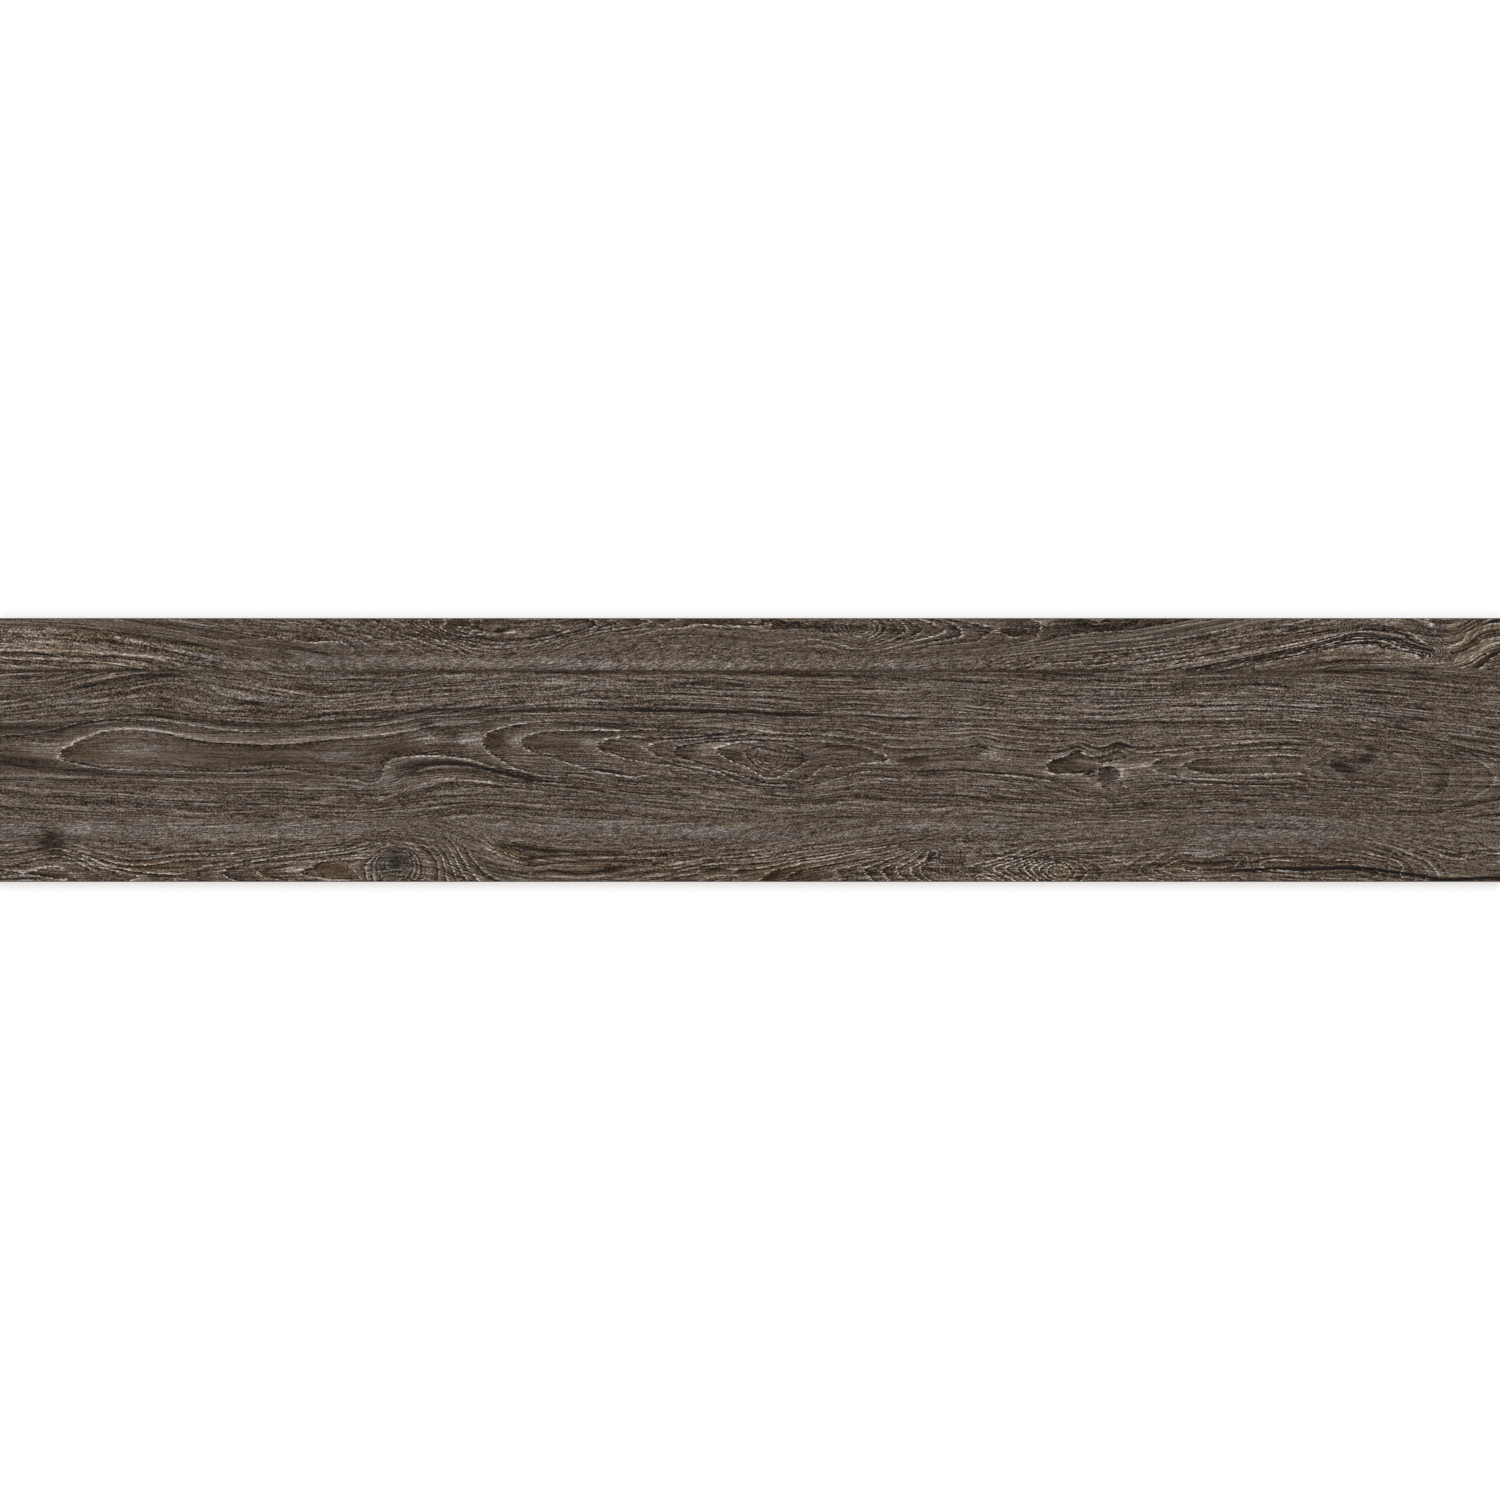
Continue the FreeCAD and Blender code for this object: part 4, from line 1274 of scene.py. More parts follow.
@dataclass(frozen=True)
class WoodFibres:
    """The long and short wood fibres, with a noise of dashes for each kind of mark.

    Attributes:
        wander: How bundles of fibres sway, so that no line is ruled.
        kinds: Each kind of fibre, from specks to long ones, with its strength in brushed grain
            and what straight grain adds to that.
        band: Broad soft bands.
        pitch: The distance between the close, nearly even lines of straight grain, in millimetres.
        sway: How those lines sway.
        even: Where those lines show.
        strokes: The short strokes of brushed grain, with how far they lean across the fibres.
        steeper: Where the strokes lean more.
        pore: Open pores.
        crack: Fine cracks.
        fleck: Light flecks.
    """

    wander: Dashes = Dashes(46.0, 9.0, 3.7)
    kinds: tuple[tuple[Dashes, float, float], ...] = (
        (Dashes(1.2, 0.50, 11.3), 1.60, 0.40),
        (Dashes(6.5, 0.80, 23.1), 1.00, -0.15),
        (Dashes(24.0, 1.15, 37.9), 0.30, 0.35),
        (Dashes(80.0, 1.30, 51.5), 0.10, 0.62),
    )
    band: Dashes = Dashes(95.0, 5.2, 67.3)
    pitch: float = 3.0
    sway: Dashes = Dashes(55.0, 7.0, 43.3)
    even: Dashes = Dashes(26.0, 2.4, 71.9)
    strokes: tuple[tuple[float, Dashes], ...] = (
        (34.0, Dashes(4.5, 0.60, 131.7)), (11.0, Dashes(4.5, 0.60, 149.3)))
    steeper: Dashes = Dashes(40.0, 14.0, 157.1)
    pore: Dashes = Dashes(5.0, 0.65, 83.9)
    crack: Dashes = Dashes(48.0, 0.95, 97.1)
    fleck: Dashes = Dashes(4.2, 0.65, 101.3)

    def make(self) -> bpy.types.NodeTree:
        """Builds the group of wood fibres.

        Returns:
            A group whose Fibre runs from dark to light fibres, and whose other outputs mark open
            pores, broad bands, fine cracks and light flecks.
        """
        group, wiring, sockets, end = new_group(
            "ShaderNodeTree", "Wood fibres", {"Along": 0.0, "Across": 0.0, "Aside": 0.0, "Fuzz": 0.0},
            {name: "NodeSocketFloat" for name in ("Fibre", "Pore", "Band", "Crack", "Fleck")})
        along, fuzz = sockets["Along"], sockets["Fuzz"]
        across = wiring.maths(
            "MULTIPLY_ADD", wiring.dashes(along, sockets["Across"], self.wander), 1.1, sockets["Across"])
        tight = wiring.maths("SUBTRACT", 1.0, fuzz, clamp=True)
        fibre = wiring.total(*(
            wiring.product(
                wiring.dashes(along, across, size), wiring.maths("MULTIPLY_ADD", tight, more, usual))
            for size, usual, more in self.kinds))
        fibre = wiring.total(
            fibre, wiring.product(self.close_lines(wiring, along, across), tight),
            wiring.product(self.brushed(wiring, along, sockets["Aside"]), fuzz))
        marks = {
            "Fibre": fibre,
            "Pore": wiring.ease(wiring.dashes(along, across, self.pore), 0.30, 0.60),
            "Band": wiring.dashes(along, across, self.band),
            "Crack": wiring.ease(wiring.dashes(along, across, self.crack), 0.38, 0.72),
            "Fleck": wiring.ease(wiring.dashes(along, across, self.fleck), 0.36, 0.66),
        }
        for name, result in marks.items():
            wiring.feed(result, end.inputs[name])
        return group

    def close_lines(self, wiring: Wiring, along: Feed, across: Feed) -> Socket:
        """Adds the close, nearly even lines of straight grain.

        Args:
            wiring: The tree that they go into.
            along: The coordinate along the fibres, in millimetres.
            across: The coordinate across the fibres, in millimetres.

        Returns:
            The lines, from about -1 to 1.
        """
        sway = wiring.maths("MULTIPLY_ADD", wiring.dashes(along, across, self.sway), 1.6,
                            wiring.maths("DIVIDE", across, self.pitch))
        wave = wiring.maths("SINE", wiring.product(sway, math.tau))
        return wiring.product(wave, wiring.ease(
            wiring.dashes(along, across, self.even), -0.35, 0.45, 0.08, 0.74))

    def brushed(self, wiring: Wiring, x: Feed, y: Feed) -> Socket:
        """Adds short strokes that lean across the fibres, steeper in some places than in others.

        Args:
            wiring: The tree that they go into.
            x: The place along the plank, in millimetres.
            y: The place across the plank, in millimetres.

        Returns:
            The strokes, from about -1 to 1.
        """
        sets = []
        for lean, size in self.strokes:
            sine, cosine = math.sin(math.radians(lean)), math.cos(math.radians(lean))
            run = wiring.maths("MULTIPLY_ADD", x, cosine, wiring.product(y, sine))
            side = wiring.maths("MULTIPLY_ADD", y, cosine, wiring.product(x, -sine))
            sets.append(wiring.dashes(run, side, size))
        choice = wiring.ease(wiring.dashes(x, y, self.steeper), -0.25, 0.25)
        steep = wiring.product(sets[0], choice)
        flat = wiring.product(sets[1], wiring.maths("SUBTRACT", 1.0, choice))
        return wiring.product(wiring.maths("ADD", steep, flat), 1.35)


@dataclass(frozen=True)
class GrowthRings:
    """The growth ring lines, which have their own width however far apart the rings are.

    Attributes:
        ragged: The small steps of a line from fibre to fibre.
        drift: The slow wander of a line.
        tongues: How fibres carry a line along with them where it crosses them.
        breaks: How the grain breaks up a line.
        run: How far a ring goes before it fades in or out, in millimetres.
        line: How far out from a ring's start its light line reaches, in millimetres.
        glow: How far the lighter wood beside that line reaches.
        edge: How far back from a ring's end its dark line reaches.
        shade: How far the darker wood beside that line reaches.
    """

    ragged: Dashes = Dashes(3.4, 0.9, 5.1)
    drift: Dashes = Dashes(100.0, 9.0, 7.7)
    tongues: Dashes = Dashes(17.0, 1.0, 13.9)
    breaks: Dashes = Dashes(2.4, 0.8, 19.7)
    run: float = 70.0
    line: float = 1.5
    glow: float = 11.0
    edge: float = 2.1
    shade: float = 15.0

    def make(self) -> bpy.types.NodeTree:
        """Builds the group that turns ring levels into ring lines.

        Returns:
            A group whose Line is light at each ring's start and darkens towards its end.
        """
        group, wiring, sockets, end = new_group(
            "ShaderNodeTree", "Growth rings",
            {"Ring": 0.0, "Pace": 0.2, "Run": 0.0, "Along": 0.0, "Across": 0.0}, {"Line": "NodeSocketFloat"})
        along, across = sockets["Along"], sockets["Across"]
        pace = wiring.maths("MAXIMUM", sockets["Pace"], 0.004)
        wander = wiring.maths("MULTIPLY_ADD", wiring.dashes(along, across, self.ragged), 0.62,
                              wiring.product(wiring.dashes(along, across, self.drift), 0.8))
        # Where a ring line crosses the fibres, they run through it like tongues
        crossing = wiring.maths("MINIMUM", sockets["Run"], 0.05)
        tongues = wiring.product(wiring.dashes(along, across, self.tongues), crossing, 4.5)
        ring = wiring.total(sockets["Ring"], wiring.product(wander, pace), tongues)
        share = wiring.maths("FRACT", ring)
        past = wiring.maths("DIVIDE", share, pace)
        left = wiring.maths("DIVIDE", wiring.maths("SUBTRACT", 1.0, share), pace)
        light = wiring.maths(
            "ADD",
            wiring.product(
                wiring.ease(past, 0.4, self.line, 1.0, 0.0), wiring.ease(share, 0.25, 0.5, 1.0, 0.0)),
            wiring.product(
                wiring.ease(past, 0.0, self.glow, 0.32, 0.0), wiring.ease(share, 0.0, 0.5, 1.0, 0.0)))
        dark = wiring.maths(
            "ADD", wiring.ease(left, 0.3, self.edge, 0.58, 0.0),
            wiring.product(wiring.ease(left, 0.0, self.shade, 0.50, 0.0), wiring.ease(share, 0.35, 1.0)))
        strength = self.strength(wiring, wiring.maths("FLOOR", ring), along, across)
        wiring.feed(wiring.product(wiring.maths("SUBTRACT", light, dark), strength), end.inputs["Line"])
        return group

    def strength(self, wiring: Wiring, number: Socket, along: Feed, across: Feed) -> Socket:
        """Makes some rings strong and others faint, and breaks each up along its way.

        Args:
            wiring: The tree that this goes into.
            number: The ring's whole number.
            along: The coordinate along the fibres, in millimetres.
            across: The coordinate across the fibres, in millimetres.

        Returns:
            What the lines are multiplied by.
        """
        own = wiring.noise(wiring.triple(
            wiring.maths("DIVIDE", along, self.run), wiring.product(number, 3.17), 91.7))
        breaks = wiring.maths("MULTIPLY_ADD", wiring.dashes(along, across, self.breaks), 2.6, 0.95)
        return wiring.product(wiring.ease(own, -0.45, 0.55, 0.5, 1.45), wiring.maths("MAXIMUM", breaks, 0.1))


def speckle_group() -> bpy.types.NodeTree:
    """Builds the group of grain and specks in the fired body.

    Returns:
        A group whose Speckle marks dark grains, whose Mottle varies slowly and whose Grit is a
        fine height.
    """
    group, wiring, sockets, end = new_group(
        "ShaderNodeTree", "Fired body", {"Grain Size": 0.6, "Amount": 0.5},
        {"Speckle": "NodeSocketFloat", "Mottle": "NodeSocketFloat", "Grit": "NodeSocketFloat"})
    place = wiring.add("ShaderNodeTexCoord").outputs["Object"]
    size = wiring.maths("DIVIDE", MM_PER_METRE, sockets["Grain Size"])
    fine = wiring.add("ShaderNodeVectorMath", {"operation": "SCALE"}, Vector=place, Scale=size)
    cells = wiring.add("ShaderNodeTexVoronoi", Vector=fine.outputs[0], Scale=1.0)
    chance = wiring.add("ShaderNodeTexWhiteNoise", {"noise_dimensions": "3D"},
                        Vector=cells.outputs["Position"])
    low = wiring.maths("MULTIPLY_ADD", sockets["Amount"], -0.35, 0.97)
    picked = wiring.maths("GREATER_THAN", chance.outputs["Value"], low)
    speck = wiring.product(picked, wiring.ease(cells.outputs["Distance"], 0.15, 0.45, 1.0, 0.0))
    broad = wiring.add("ShaderNodeVectorMath", {"operation": "SCALE"}, Vector=place, Scale=45.0)
    mottle = wiring.noise(broad.outputs[0], 3.0, 0.6)
    grit = wiring.noise(fine.outputs[0], 2.0, 0.6)
    for name, result in (("Speckle", speck), ("Mottle", mottle), ("Grit", grit)):
        wiring.feed(result, end.inputs[name])
    return group


def new_material(name: str) -> tuple[bpy.types.Material, Wiring, bpy.types.Node]:
    """Starts a material.

    Args:
        name: The material's name.

    Returns:
        The material, its wiring and its Principled BSDF.
    """
    material = bpy.data.materials.new(name)
    material.use_nodes = True
    wiring = Wiring(material.node_tree)
    shader = next(node for node in wiring.tree.nodes if node.type == "BSDF_PRINCIPLED")
    return material, wiring, shader


@dataclass(frozen=True)
class PrintedWood:
    """The printed and glazed face: weathered brown oak with dry, matt grain.

    Attributes:
        fibres: The group of wood fibres.
        rings: The group of growth rings.
        mid_tone: The print's usual lightness, from 0 to 1 on screen.
        fibre_tone: How much the fibres change the lightness.
        ring_tone: How much the ring lines change the lightness.
        band_tone: How much the broad bands change the lightness.
        paint_tone: How much a drawn mark of strength 1 changes the lightness.
        stain: How single fibres take the stain.
        slow_stain: How the stain varies from place to place.
    """

    fibres: bpy.types.NodeTree
    rings: bpy.types.NodeTree
    mid_tone: float = 0.306
    fibre_tone: float = 0.165
    ring_tone: float = 0.128
    band_tone: float = 0.050
    paint_tone: float = 0.52
    stain: Dashes = Dashes(5.0, 0.8, 61.3)
    slow_stain: Dashes = Dashes(60.0, 7.0, 29.3)

    def tones(self) -> tuple[tuple[float, tuple[int, int, int]], ...]:
        """Gives the print's inks.

        Returns:
            Each lightness with the screen colour that is printed for it.
        """
        return (
            (0.070, (15, 11, 6)), (0.122, (31, 22, 15)), (0.161, (42, 32, 23)), (0.212, (57, 45, 34)),
            (0.267, (72, 60, 48)), (0.322, (88, 75, 63)), (0.380, (103, 90, 78)), (0.435, (117, 105, 94)),
            (0.500, (133, 121, 110)), (0.573, (153, 141, 130)), (0.655, (173, 161, 150)),
            (0.80, (206, 197, 187)),
        )

    def make(self) -> bpy.types.Material:
        """Builds the face's material.

        Returns:
            The material.
        """
        material, wiring, shader = new_material("printed wood glaze")
        x, y, _ = wiring.parts(wiring.add("ShaderNodeTexCoord").outputs["Object"])
        along, aside = wiring.product(x, MM_PER_METRE), wiring.product(y, MM_PER_METRE)
        layers = {
            layer: wiring.add("ShaderNodeAttribute", {"attribute_name": layer.value}) for layer in Layer
        }
        across = layers[Layer.FIBRE].outputs["Fac"]
        tone, warmth, contrast = wiring.parts(layers[Layer.PAINT].outputs["Vector"])
        ring_strength, fuzz, lime = wiring.parts(layers[Layer.GRAIN].outputs["Vector"])
        fibres = place_group(wiring, self.fibres, Along=along, Across=across, Aside=aside, Fuzz=fuzz)
        ring, pace, run = (layers[name].outputs["Fac"] for name in (Layer.RING, Layer.PACE, Layer.RUN))
        rings = place_group(
            wiring, self.rings, Ring=ring, Pace=pace, Run=run, Along=along, Across=across)
        fibre_part = wiring.product(fibres.outputs["Fibre"], contrast, self.fibre_tone)
        ring_part = wiring.product(rings.outputs["Line"], ring_strength, self.ring_tone)
        band_part = wiring.product(fibres.outputs["Band"], self.band_tone)
        # The fibres break up the drawn marks, so none has a clean edge
        ragged = wiring.maths("MULTIPLY_ADD", wiring.maths("ABSOLUTE", fibres.outputs["Fibre"]), 0.9, 0.75)
        sparse = wiring.total(*(
            wiring.product(fibres.outputs[mark], share)
            for mark, share in (("Pore", -0.09), ("Crack", -0.11), ("Fleck", 0.12))))
        lightness = wiring.total(
            fibre_part, ring_part, band_part, wiring.product(sparse, contrast),
            wiring.product(tone, ragged, self.paint_tone),
            wiring.maths("MULTIPLY_ADD", lime, 0.030, self.mid_tone))
        inks = wiring.add("ShaderNodeValToRGB", Fac=lightness)
        self.fill_ramp(inks.color_ramp)
        # Single fibres take the stain differently, so warm and cool ones lie side by side
        stain = wiring.maths("MULTIPLY_ADD", wiring.dashes(along, across, self.stain), 2.3,
                             wiring.product(wiring.dashes(along, across, self.slow_stain), 0.45))
        tint = self.tint(wiring, warmth, stain, fibre_part, wiring.total(
            wiring.product(lime, 0.10), wiring.product(fibres.outputs["Pore"], 0.3),
            wiring.product(fibres.outputs["Crack"], 0.5)))
        coloured = wiring.add("ShaderNodeMix", {"data_type": "RGBA", "blend_type": "MULTIPLY"})
        for source, target in ((1.0, 0), (inks.outputs[0], 6), (tint, 7)):
            wiring.feed(source, coloured.inputs[target])
        wiring.feed(coloured.outputs[2], shader.inputs["Base Color"])
        # Open pores are dry, and the flat wood between them has a slight satin sheen
        dryness = wiring.maths("MULTIPLY_ADD", lightness, -0.25, 0.72)
        wiring.feed(wiring.maths("MULTIPLY_ADD", fibres.outputs["Pore"], 0.10, dryness),
                    shader.inputs["Roughness"])
        height = wiring.total(
            wiring.product(fibre_part, 3.0), wiring.product(ring_part, 3.0),
            wiring.product(fibres.outputs["Pore"], -0.30))
        bump = wiring.add("ShaderNodeBump", Strength=0.35, Distance=0.00025, Height=height)
        wiring.feed(bump.outputs[0], shader.inputs["Normal"])
        shader.inputs["Specular IOR Level"].default_value = 0.12
        return material

    def fill_ramp(self, ramp: bpy.types.ColorRamp) -> None:
        """Puts the inks on a colour ramp.

        Args:
            ramp: The ramp, which comes with two stops.
        """
        tones = self.tones()
        while len(ramp.elements) < len(tones):
            ramp.elements.new(0.5)
        for element, (place, _) in zip(ramp.elements, tones):
            element.position = place
        for element, (_, colour) in zip(ramp.elements, tones):
            element.color = linear(*colour)

    def tint(self, wiring: Wiring, warmth: Socket, stain: Socket, fibre: Socket, cool: Socket) -> Socket:
        """Builds the warm or cool cast of the print.

        Args:
            wiring: The face's wiring.
            warmth: The drawn warmth.
            stain: How the stain varies among the fibres.
            fibre: The fibres' part of the lightness.
            cool: How far pores, cracks and lime cool the print.

        Returns:
            A colour near white that the ink is multiplied by.
        """
        amount = wiring.maths("SUBTRACT", wiring.total(
            warmth, stain, wiring.maths("MULTIPLY_ADD", fibre, -1.2, -0.10)), cool)
        return wiring.triple(
            wiring.maths("MULTIPLY_ADD", amount, 0.06, 1.0), wiring.maths("MULTIPLY_ADD", amount, -0.02, 1.0),
            wiring.maths("MULTIPLY_ADD", amount, -0.13, 1.0))


@dataclass(frozen=True)
class GroundBody:
    """The fired body where the edges are ground square: pale warm grey with fine specks.

    Attributes:
        speckle: The group of grain and specks.
        glaze_low: The height above the back where the glaze on the bevel starts, in metres.
        glaze_full: The height where it covers all.
        fired: The screen colour of the ground body.
        print_edge: The screen colour of the print where it runs over the bevel.
    """

    speckle: bpy.types.NodeTree
    glaze_low: float = 9.25 * MM
    glaze_full: float = 9.45 * MM
    fired: tuple[float, float, float] = (150, 137, 123)
    print_edge: tuple[float, float, float] = (80, 70, 60)

    def make(self) -> bpy.types.Material:
        """Builds the edges' material.

        Returns:
            The material.
        """
        material, wiring, shader = new_material("ground porcelain edge")
        body = place_group(wiring, self.speckle, Grain_Size=0.45, Amount=0.45)
        place = wiring.add("ShaderNodeTexCoord").outputs["Object"]
        x, y, z = wiring.parts(place)
        # Grinding leaves faint lines that run along each edge
        lines = wiring.noise(wiring.triple(
            wiring.product(x, 25.0), wiring.product(y, 25.0), wiring.product(z, 2600.0)), 1.0)
        shade = wiring.total(
            wiring.product(body.outputs["Speckle"], -0.30), wiring.product(body.outputs["Mottle"], 0.05),
            wiring.product(lines, 0.05), 0.92)
        pale = wiring.add("ShaderNodeVectorMath", {"operation": "SCALE"}, Scale=shade)
        pale.inputs[0].default_value = linear(*self.fired)[:3]
        # The print and its glaze run over the bevel and show as a thin dark line at the edge's top
        glaze = wiring.ease(z, self.glaze_low, self.glaze_full)
        mix = wiring.add("ShaderNodeMix", {"data_type": "RGBA"})
        for source, target in ((glaze, 0), (pale.outputs[0], 6), (linear(*self.print_edge), 7)):
            wiring.feed(source, mix.inputs[target])
        wiring.feed(mix.outputs[2], shader.inputs["Base Color"])
        wiring.feed(wiring.maths("MULTIPLY_ADD", lines, 0.08, 0.62), shader.inputs["Roughness"])
        height = wiring.total(wiring.product(lines, 0.5), wiring.product(body.outputs["Grit"], 0.3))
        bump = wiring.add("ShaderNodeBump", Strength=0.25, Distance=0.1 * MM, Height=height)
        wiring.feed(bump.outputs[0], shader.inputs["Normal"])
        shader.inputs["Specular IOR Level"].default_value = 0.3
        return material


@dataclass(frozen=True)
class KilnBack:
    """The unglazed back, with pale kiln wash rubbed onto its ribs.

    Attributes:
        speckle: The group of grain and specks.
        pocket_depth: How far the pockets' floors lie behind the ribs, in metres.
        fired: The screen colour of the bare body.
        kiln_wash: The screen colour of the kiln wash.
    """

    speckle: bpy.types.NodeTree
    pocket_depth: float
    fired: tuple[float, float, float] = (158, 142, 124)
    kiln_wash: tuple[float, float, float] = (203, 198, 190)

    def make(self) -> bpy.types.Material:
        """Builds the back's material.

        Returns:
            The material.
        """
        material, wiring, shader = new_material("unglazed back")
        body = place_group(wiring, self.speckle, Grain_Size=0.8, Amount=0.6)
        place = wiring.add("ShaderNodeTexCoord").outputs["Object"]
        x, y, z = wiring.parts(place)
        rib = wiring.ease(z, 0.0, 0.6 * self.pocket_depth, 1.0, 0.0)
        rubbed = wiring.noise(wiring.triple(
            wiring.product(x, 30.0), wiring.product(y, 160.0), 4.4), 4.0, 0.65)
        wash = wiring.product(rib, wiring.ease(rubbed, -0.35, 0.45, 0.15, 0.95))
        shade = wiring.total(
            wiring.product(body.outputs["Speckle"], -0.28), wiring.product(body.outputs["Mottle"], 0.10),
            wiring.product(body.outputs["Grit"], 0.04), 0.9)
        clay = wiring.add("ShaderNodeVectorMath", {"operation": "SCALE"}, Scale=shade)
        clay.inputs[0].default_value = linear(*self.fired)[:3]
        mix = wiring.add("ShaderNodeMix", {"data_type": "RGBA"})
        for source, target in ((wash, 0), (clay.outputs[0], 6), (linear(*self.kiln_wash), 7)):
            wiring.feed(source, mix.inputs[target])
        wiring.feed(mix.outputs[2], shader.inputs["Base Color"])
        wiring.feed(wiring.maths("MULTIPLY_ADD", wash, 0.12, 0.78), shader.inputs["Roughness"])
        height = wiring.total(body.outputs["Grit"], wiring.product(body.outputs["Mottle"], 1.5))
        bump = wiring.add("ShaderNodeBump", Strength=0.45, Distance=0.2 * MM, Height=height)
        wiring.feed(bump.outputs[0], shader.inputs["Normal"])
        shader.inputs["Specular IOR Level"].default_value = 0.25
        return material


# The shapes


def made_plain(source: bpy.types.Object) -> bpy.types.Mesh:
    """Turns an object with its modifiers into a plain mesh, and clears the object away.

    Args:
        source: The object, whose modifiers are set.

    Returns:
        The mesh that the modifiers make.
    """
    graph = bpy.context.evaluated_depsgraph_get()
    mesh = bpy.data.meshes.new_from_object(
        source.evaluated_get(graph), preserve_all_data_layers=True, depsgraph=graph)
    source.modifiers.clear()
    bpy.data.objects.remove(source)
    return mesh


def new_object(name: str, mesh: bpy.types.Mesh) -> bpy.types.Object:
    """Puts a mesh into the scene.

    Args:
        name: The object's name.
        mesh: Its mesh.

    Returns:
        The object, at the origin.
    """
    made = bpy.data.objects.new(name, mesh)
    bpy.context.scene.collection.objects.link(made)
    return made


def run_tree(target: bpy.types.Object, tree: bpy.types.NodeTree, sizes: dict[str, object]) -> None:
    """Gives an object a Geometry Nodes modifier with its sizes set.

    Args:
        target: The object.
        tree: The tree.
        sizes: The tree's inputs by name.
    """
    modifier = target.modifiers.new(tree.name, "NODES")
    modifier.node_group = tree
    for item in tree.interface.items_tree:
        if item.item_type == "SOCKET" and item.in_out == "INPUT" and item.name in sizes:
            modifier[item.identifier] = sizes[item.name]


def points_of(mesh: bpy.types.Mesh) -> np.ndarray:
    """Reads a mesh's points.

    Args:
        mesh: The mesh.

    Returns:
        One row of x, y and z for each point.
    """
    places = np.empty(len(mesh.vertices) * 3, np.float32)
    mesh.vertices.foreach_get("co", places)
    return places.reshape(-1, 3).astype(float)


@dataclass(frozen=True)
class PressedFace:
    """The top of the tile inside its bevel, pressed with a shallow wood relief.

    Attributes:
        length: Its length.
        width: Its width.
        height: How high it lies above the back.
        columns: How many faces it has along the plank.
        rows: How many faces it has across the plank.
        relief: How deep the deepest grain is pressed.
        rim: How far in from its edges the relief starts.
    """

    length: float
    width: float
    height: float
    columns: int = 364
    rows: int = 234
    relief: float = 0.16 * MM
    rim: float = 4.0 * MM

    def grid(self, figure: Figure) -> bpy.types.Mesh:
        """Builds the flat grid of faces with the figure's layers on its points.

        Args:
            figure: The figure.

        Returns:
            The mesh.
        """
        xs = np.linspace(-self.length / 2, self.length / 2, self.columns + 1)
        ys = np.linspace(-self.width / 2, self.width / 2, self.rows + 1)
        x, y = (side.ravel() for side in np.meshgrid(xs, ys))
        corner = (np.arange(self.rows)[:, None] * (self.columns + 1) + np.arange(self.columns)).ravel()
        faces = np.stack((corner, corner + 1, corner + self.columns + 2, corner + self.columns + 1), axis=-1)
        mesh = bpy.data.meshes.new("pressed face")
        mesh.from_pydata(np.stack((x, y, np.full_like(x, self.height)), axis=-1).tolist(), [], faces.tolist())
        # The figure's rows run from the far edge, and the mesh's from the near one
        drawn_x = xs / UNIT + DRAWN_LENGTH / 2
        drawn_d = (ys / PLANK_WIDTH + 0.5) * DRAWN_WIDTH
        for layer, values in figure.draw(drawn_x, drawn_d).items():
            kind = "FLOAT" if values.ndim == 2 else "FLOAT_VECTOR"
            attribute = mesh.attributes.new(layer.value, kind, "POINT")
            attribute.data.foreach_set("value" if kind == "FLOAT" else "vector", values[::-1].ravel())
        return mesh

    def relief_tree(self) -> bpy.types.NodeTree:
        """Builds the tree that presses the grain into the grid.

        Returns:
            The Geometry Nodes tree.
        """
        tree, wiring, sockets, end = new_group(
            "GeometryNodeTree", "Pressed grain",
            {"Relief": 0.0001, "Half Length": 0.5, "Half Width": 0.1, "Rim": 0.004, "Ring Share": 0.6,
             "Grain Length": 30.0, "Grain Width": 2.6, "Seed": 1.0},
            {"Geometry": "NodeSocketGeometry"})
        material = tree.interface.new_socket("Material", in_out="INPUT", socket_type="NodeSocketMaterial")
        start = next(node for node in tree.nodes if node.type == "GROUP_INPUT")
        ring, fibre = (
            wiring.add("GeometryNodeInputNamedAttribute", {"data_type": "FLOAT"}, Name=layer.value).outputs[0]
            for layer in (Layer.RING, Layer.FIBRE))
        x, y, _ = wiring.parts(wiring.add("GeometryNodeInputPosition").outputs[0])
        inside = wiring.maths(
            "MINIMUM",
            wiring.maths("SUBTRACT", sockets["Half Length"], wiring.maths("ABSOLUTE", x)),
            wiring.maths("SUBTRACT", sockets["Half Width"], wiring.maths("ABSOLUTE", y)))
        fade = wiring.ease(inside, 0.0, sockets["Rim"])
        wave = wiring.maths("COSINE", wiring.product(ring, math.tau))
        hollow = wiring.maths("MULTIPLY_ADD", wave, -0.5, 0.5)
        dashes = wiring.noise(wiring.triple(
            wiring.maths("DIVIDE", wiring.product(x, MM_PER_METRE), sockets["Grain Length"]),
            wiring.maths("DIVIDE", fibre, sockets["Grain Width"]), sockets["Seed"]), 1.0)
        pressed = wiring.maths("MULTIPLY_ADD", dashes, 0.5, 0.5)
        share = sockets["Ring Share"]
        depth = wiring.maths(
            "ADD", wiring.product(hollow, share),
            wiring.product(pressed, wiring.maths("SUBTRACT", 1.0, share)))
        drop = wiring.product(depth, fade, sockets["Relief"], -1.0)
        moved = wiring.add("GeometryNodeSetPosition", Geometry=sockets["Geometry"],
                           Offset=wiring.triple(0.0, 0.0, drop))
        real = wiring.add("GeometryNodeRealizeInstances", Geometry=moved.outputs[0])
        glazed = wiring.add("GeometryNodeSetMaterial", Geometry=real.outputs[0],
                            Material=start.outputs[material.name])
        wiring.feed(glazed.outputs[0], end.inputs["Geometry"])
        return tree

